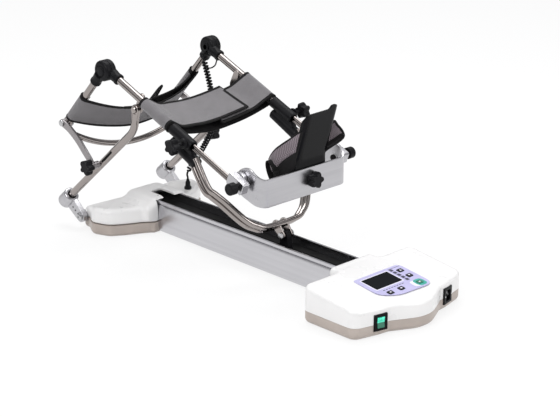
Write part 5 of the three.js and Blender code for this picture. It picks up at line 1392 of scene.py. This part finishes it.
# the short cable that loops under the far hub from one half to the other
cableEnds = [("thigh", thighKnee - 34, 141, -9), ("thigh", thighKnee - 38, 139.5, -15),
             ("shank", 36, 137, -14), ("shank", 33, 138, -9)]
cableDips = [(-345, 138.5, 333), (-326, 138, 328), (-308, 138, 337)]
ends = [onMember(*place) for place in cableEnds]
loopLine = smoothRoute([*ends[:2], *(spot(*place) for place in cableDips), *ends[2:]], 10)
loopCable = makePiece("kneeCable", sweep(loopLine, 1.5, 10), None, "blackRubber", sharp=80)
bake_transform(loopCable)
print(f"cords shaped: {lineLength(cordLine):.3f} m of curly cord, {lineLength(loopLine):.3f} m of knee cable")

# floor, lamps and world
stageSheet = {
    "size": 14, "paper": (.86, .86, .86, 1), "seen": .8, "strength": .85,
    "room": [(.40, (.30, .29, .29)), (.53, (.10, .10, .105)), (.66, (.42, .42, .43)), (.80, (.9, .9, .92)),
             (1, (.62, .62, .63))],
    "lamps": {"keyLamp": ((.6, -2.6, 2.6), .1, (2.2, 1.6), 62),
              "fillLamp": ((3.0, 1.2, 1.7), .15, (1.6, 2.2), 34),
              "topLamp": ((-.8, .8, 2.9), .1, (2.6, 1.2), 48)},
}


def mixedShader(tree, share, first, second, output):
    mix = addNode(tree, "MixShader")
    for number, source in enumerate((share, first, second)):
        tree.links.new(source, mix.inputs[number])
    tree.links.new(mix.outputs[0], tree.nodes[output].inputs["Surface"])


def addFloor():
    # pale paper that seems evenly lit to the camera
    bm = bmesh.new()
    bmesh.ops.create_grid(bm, x_segments=2, y_segments=2, size=stageSheet["size"])
    floor = placed("floor", meshOf(bm, "floor"))
    floor.location.z = cadBox[0][2] - .0005
    tree, shader = newFinish("floorPaper", Roughness=.9, Base_Color=stageSheet["paper"])
    path = addNode(tree, "LightPath")
    glow = addNode(tree, "Emission", Strength=1)
    seen = maths(tree, "MAXIMUM", path.outputs["Is Camera Ray"], path.outputs["Is Glossy Ray"])
    share = maths(tree, "MULTIPLY", seen, stageSheet["seen"])
    mixedShader(tree, share, shader.outputs["BSDF"], glow.outputs["Emission"], "Material Output")
    floor.data.materials.append(finish["floorPaper"])


addFloor()
for name, (place, aimHeight, size, power) in stageSheet["lamps"].items():
    data = bpy.data.lights.new(name, "AREA")
    data.shape, data.energy = "RECTANGLE", power
    data.size, data.size_y = size
    lamp = placed(name, data)
    lamp.location = place
    aim = Vector((0, 0, aimHeight)) - Vector(place)
    lamp.rotation_euler = aim.to_track_quat("-Z", "Y").to_euler()

world = bpy.data.worlds.new("studio")
bpy.context.scene.world = world
world.use_nodes = True
tree = world.node_tree
background = tree.nodes["Background"]
coords = addNode(tree, "TexCoord")
split = addNode(tree, "SeparateXYZ", coords.outputs["Generated"], "Vector")
heights = maths(tree, "MULTIPLY_ADD", split.outputs["Z"], .5)
heights.node.inputs[2].default_value = .5
tree.links.new(ramped(tree, heights, stageSheet["room"]), background.inputs["Color"])
background.inputs["Strength"].default_value = stageSheet["strength"]
whiteRoom = addNode(tree, "Background", Color=(1, 1, 1, 1))
toCamera = addNode(tree, "LightPath").outputs["Is Camera Ray"]
mixedShader(tree, toCamera, background.outputs[0], whiteRoom.outputs[0], "World Output")
bpy.context.scene.view_settings.view_transform = "Standard"
print("floor, lamps and room ready")
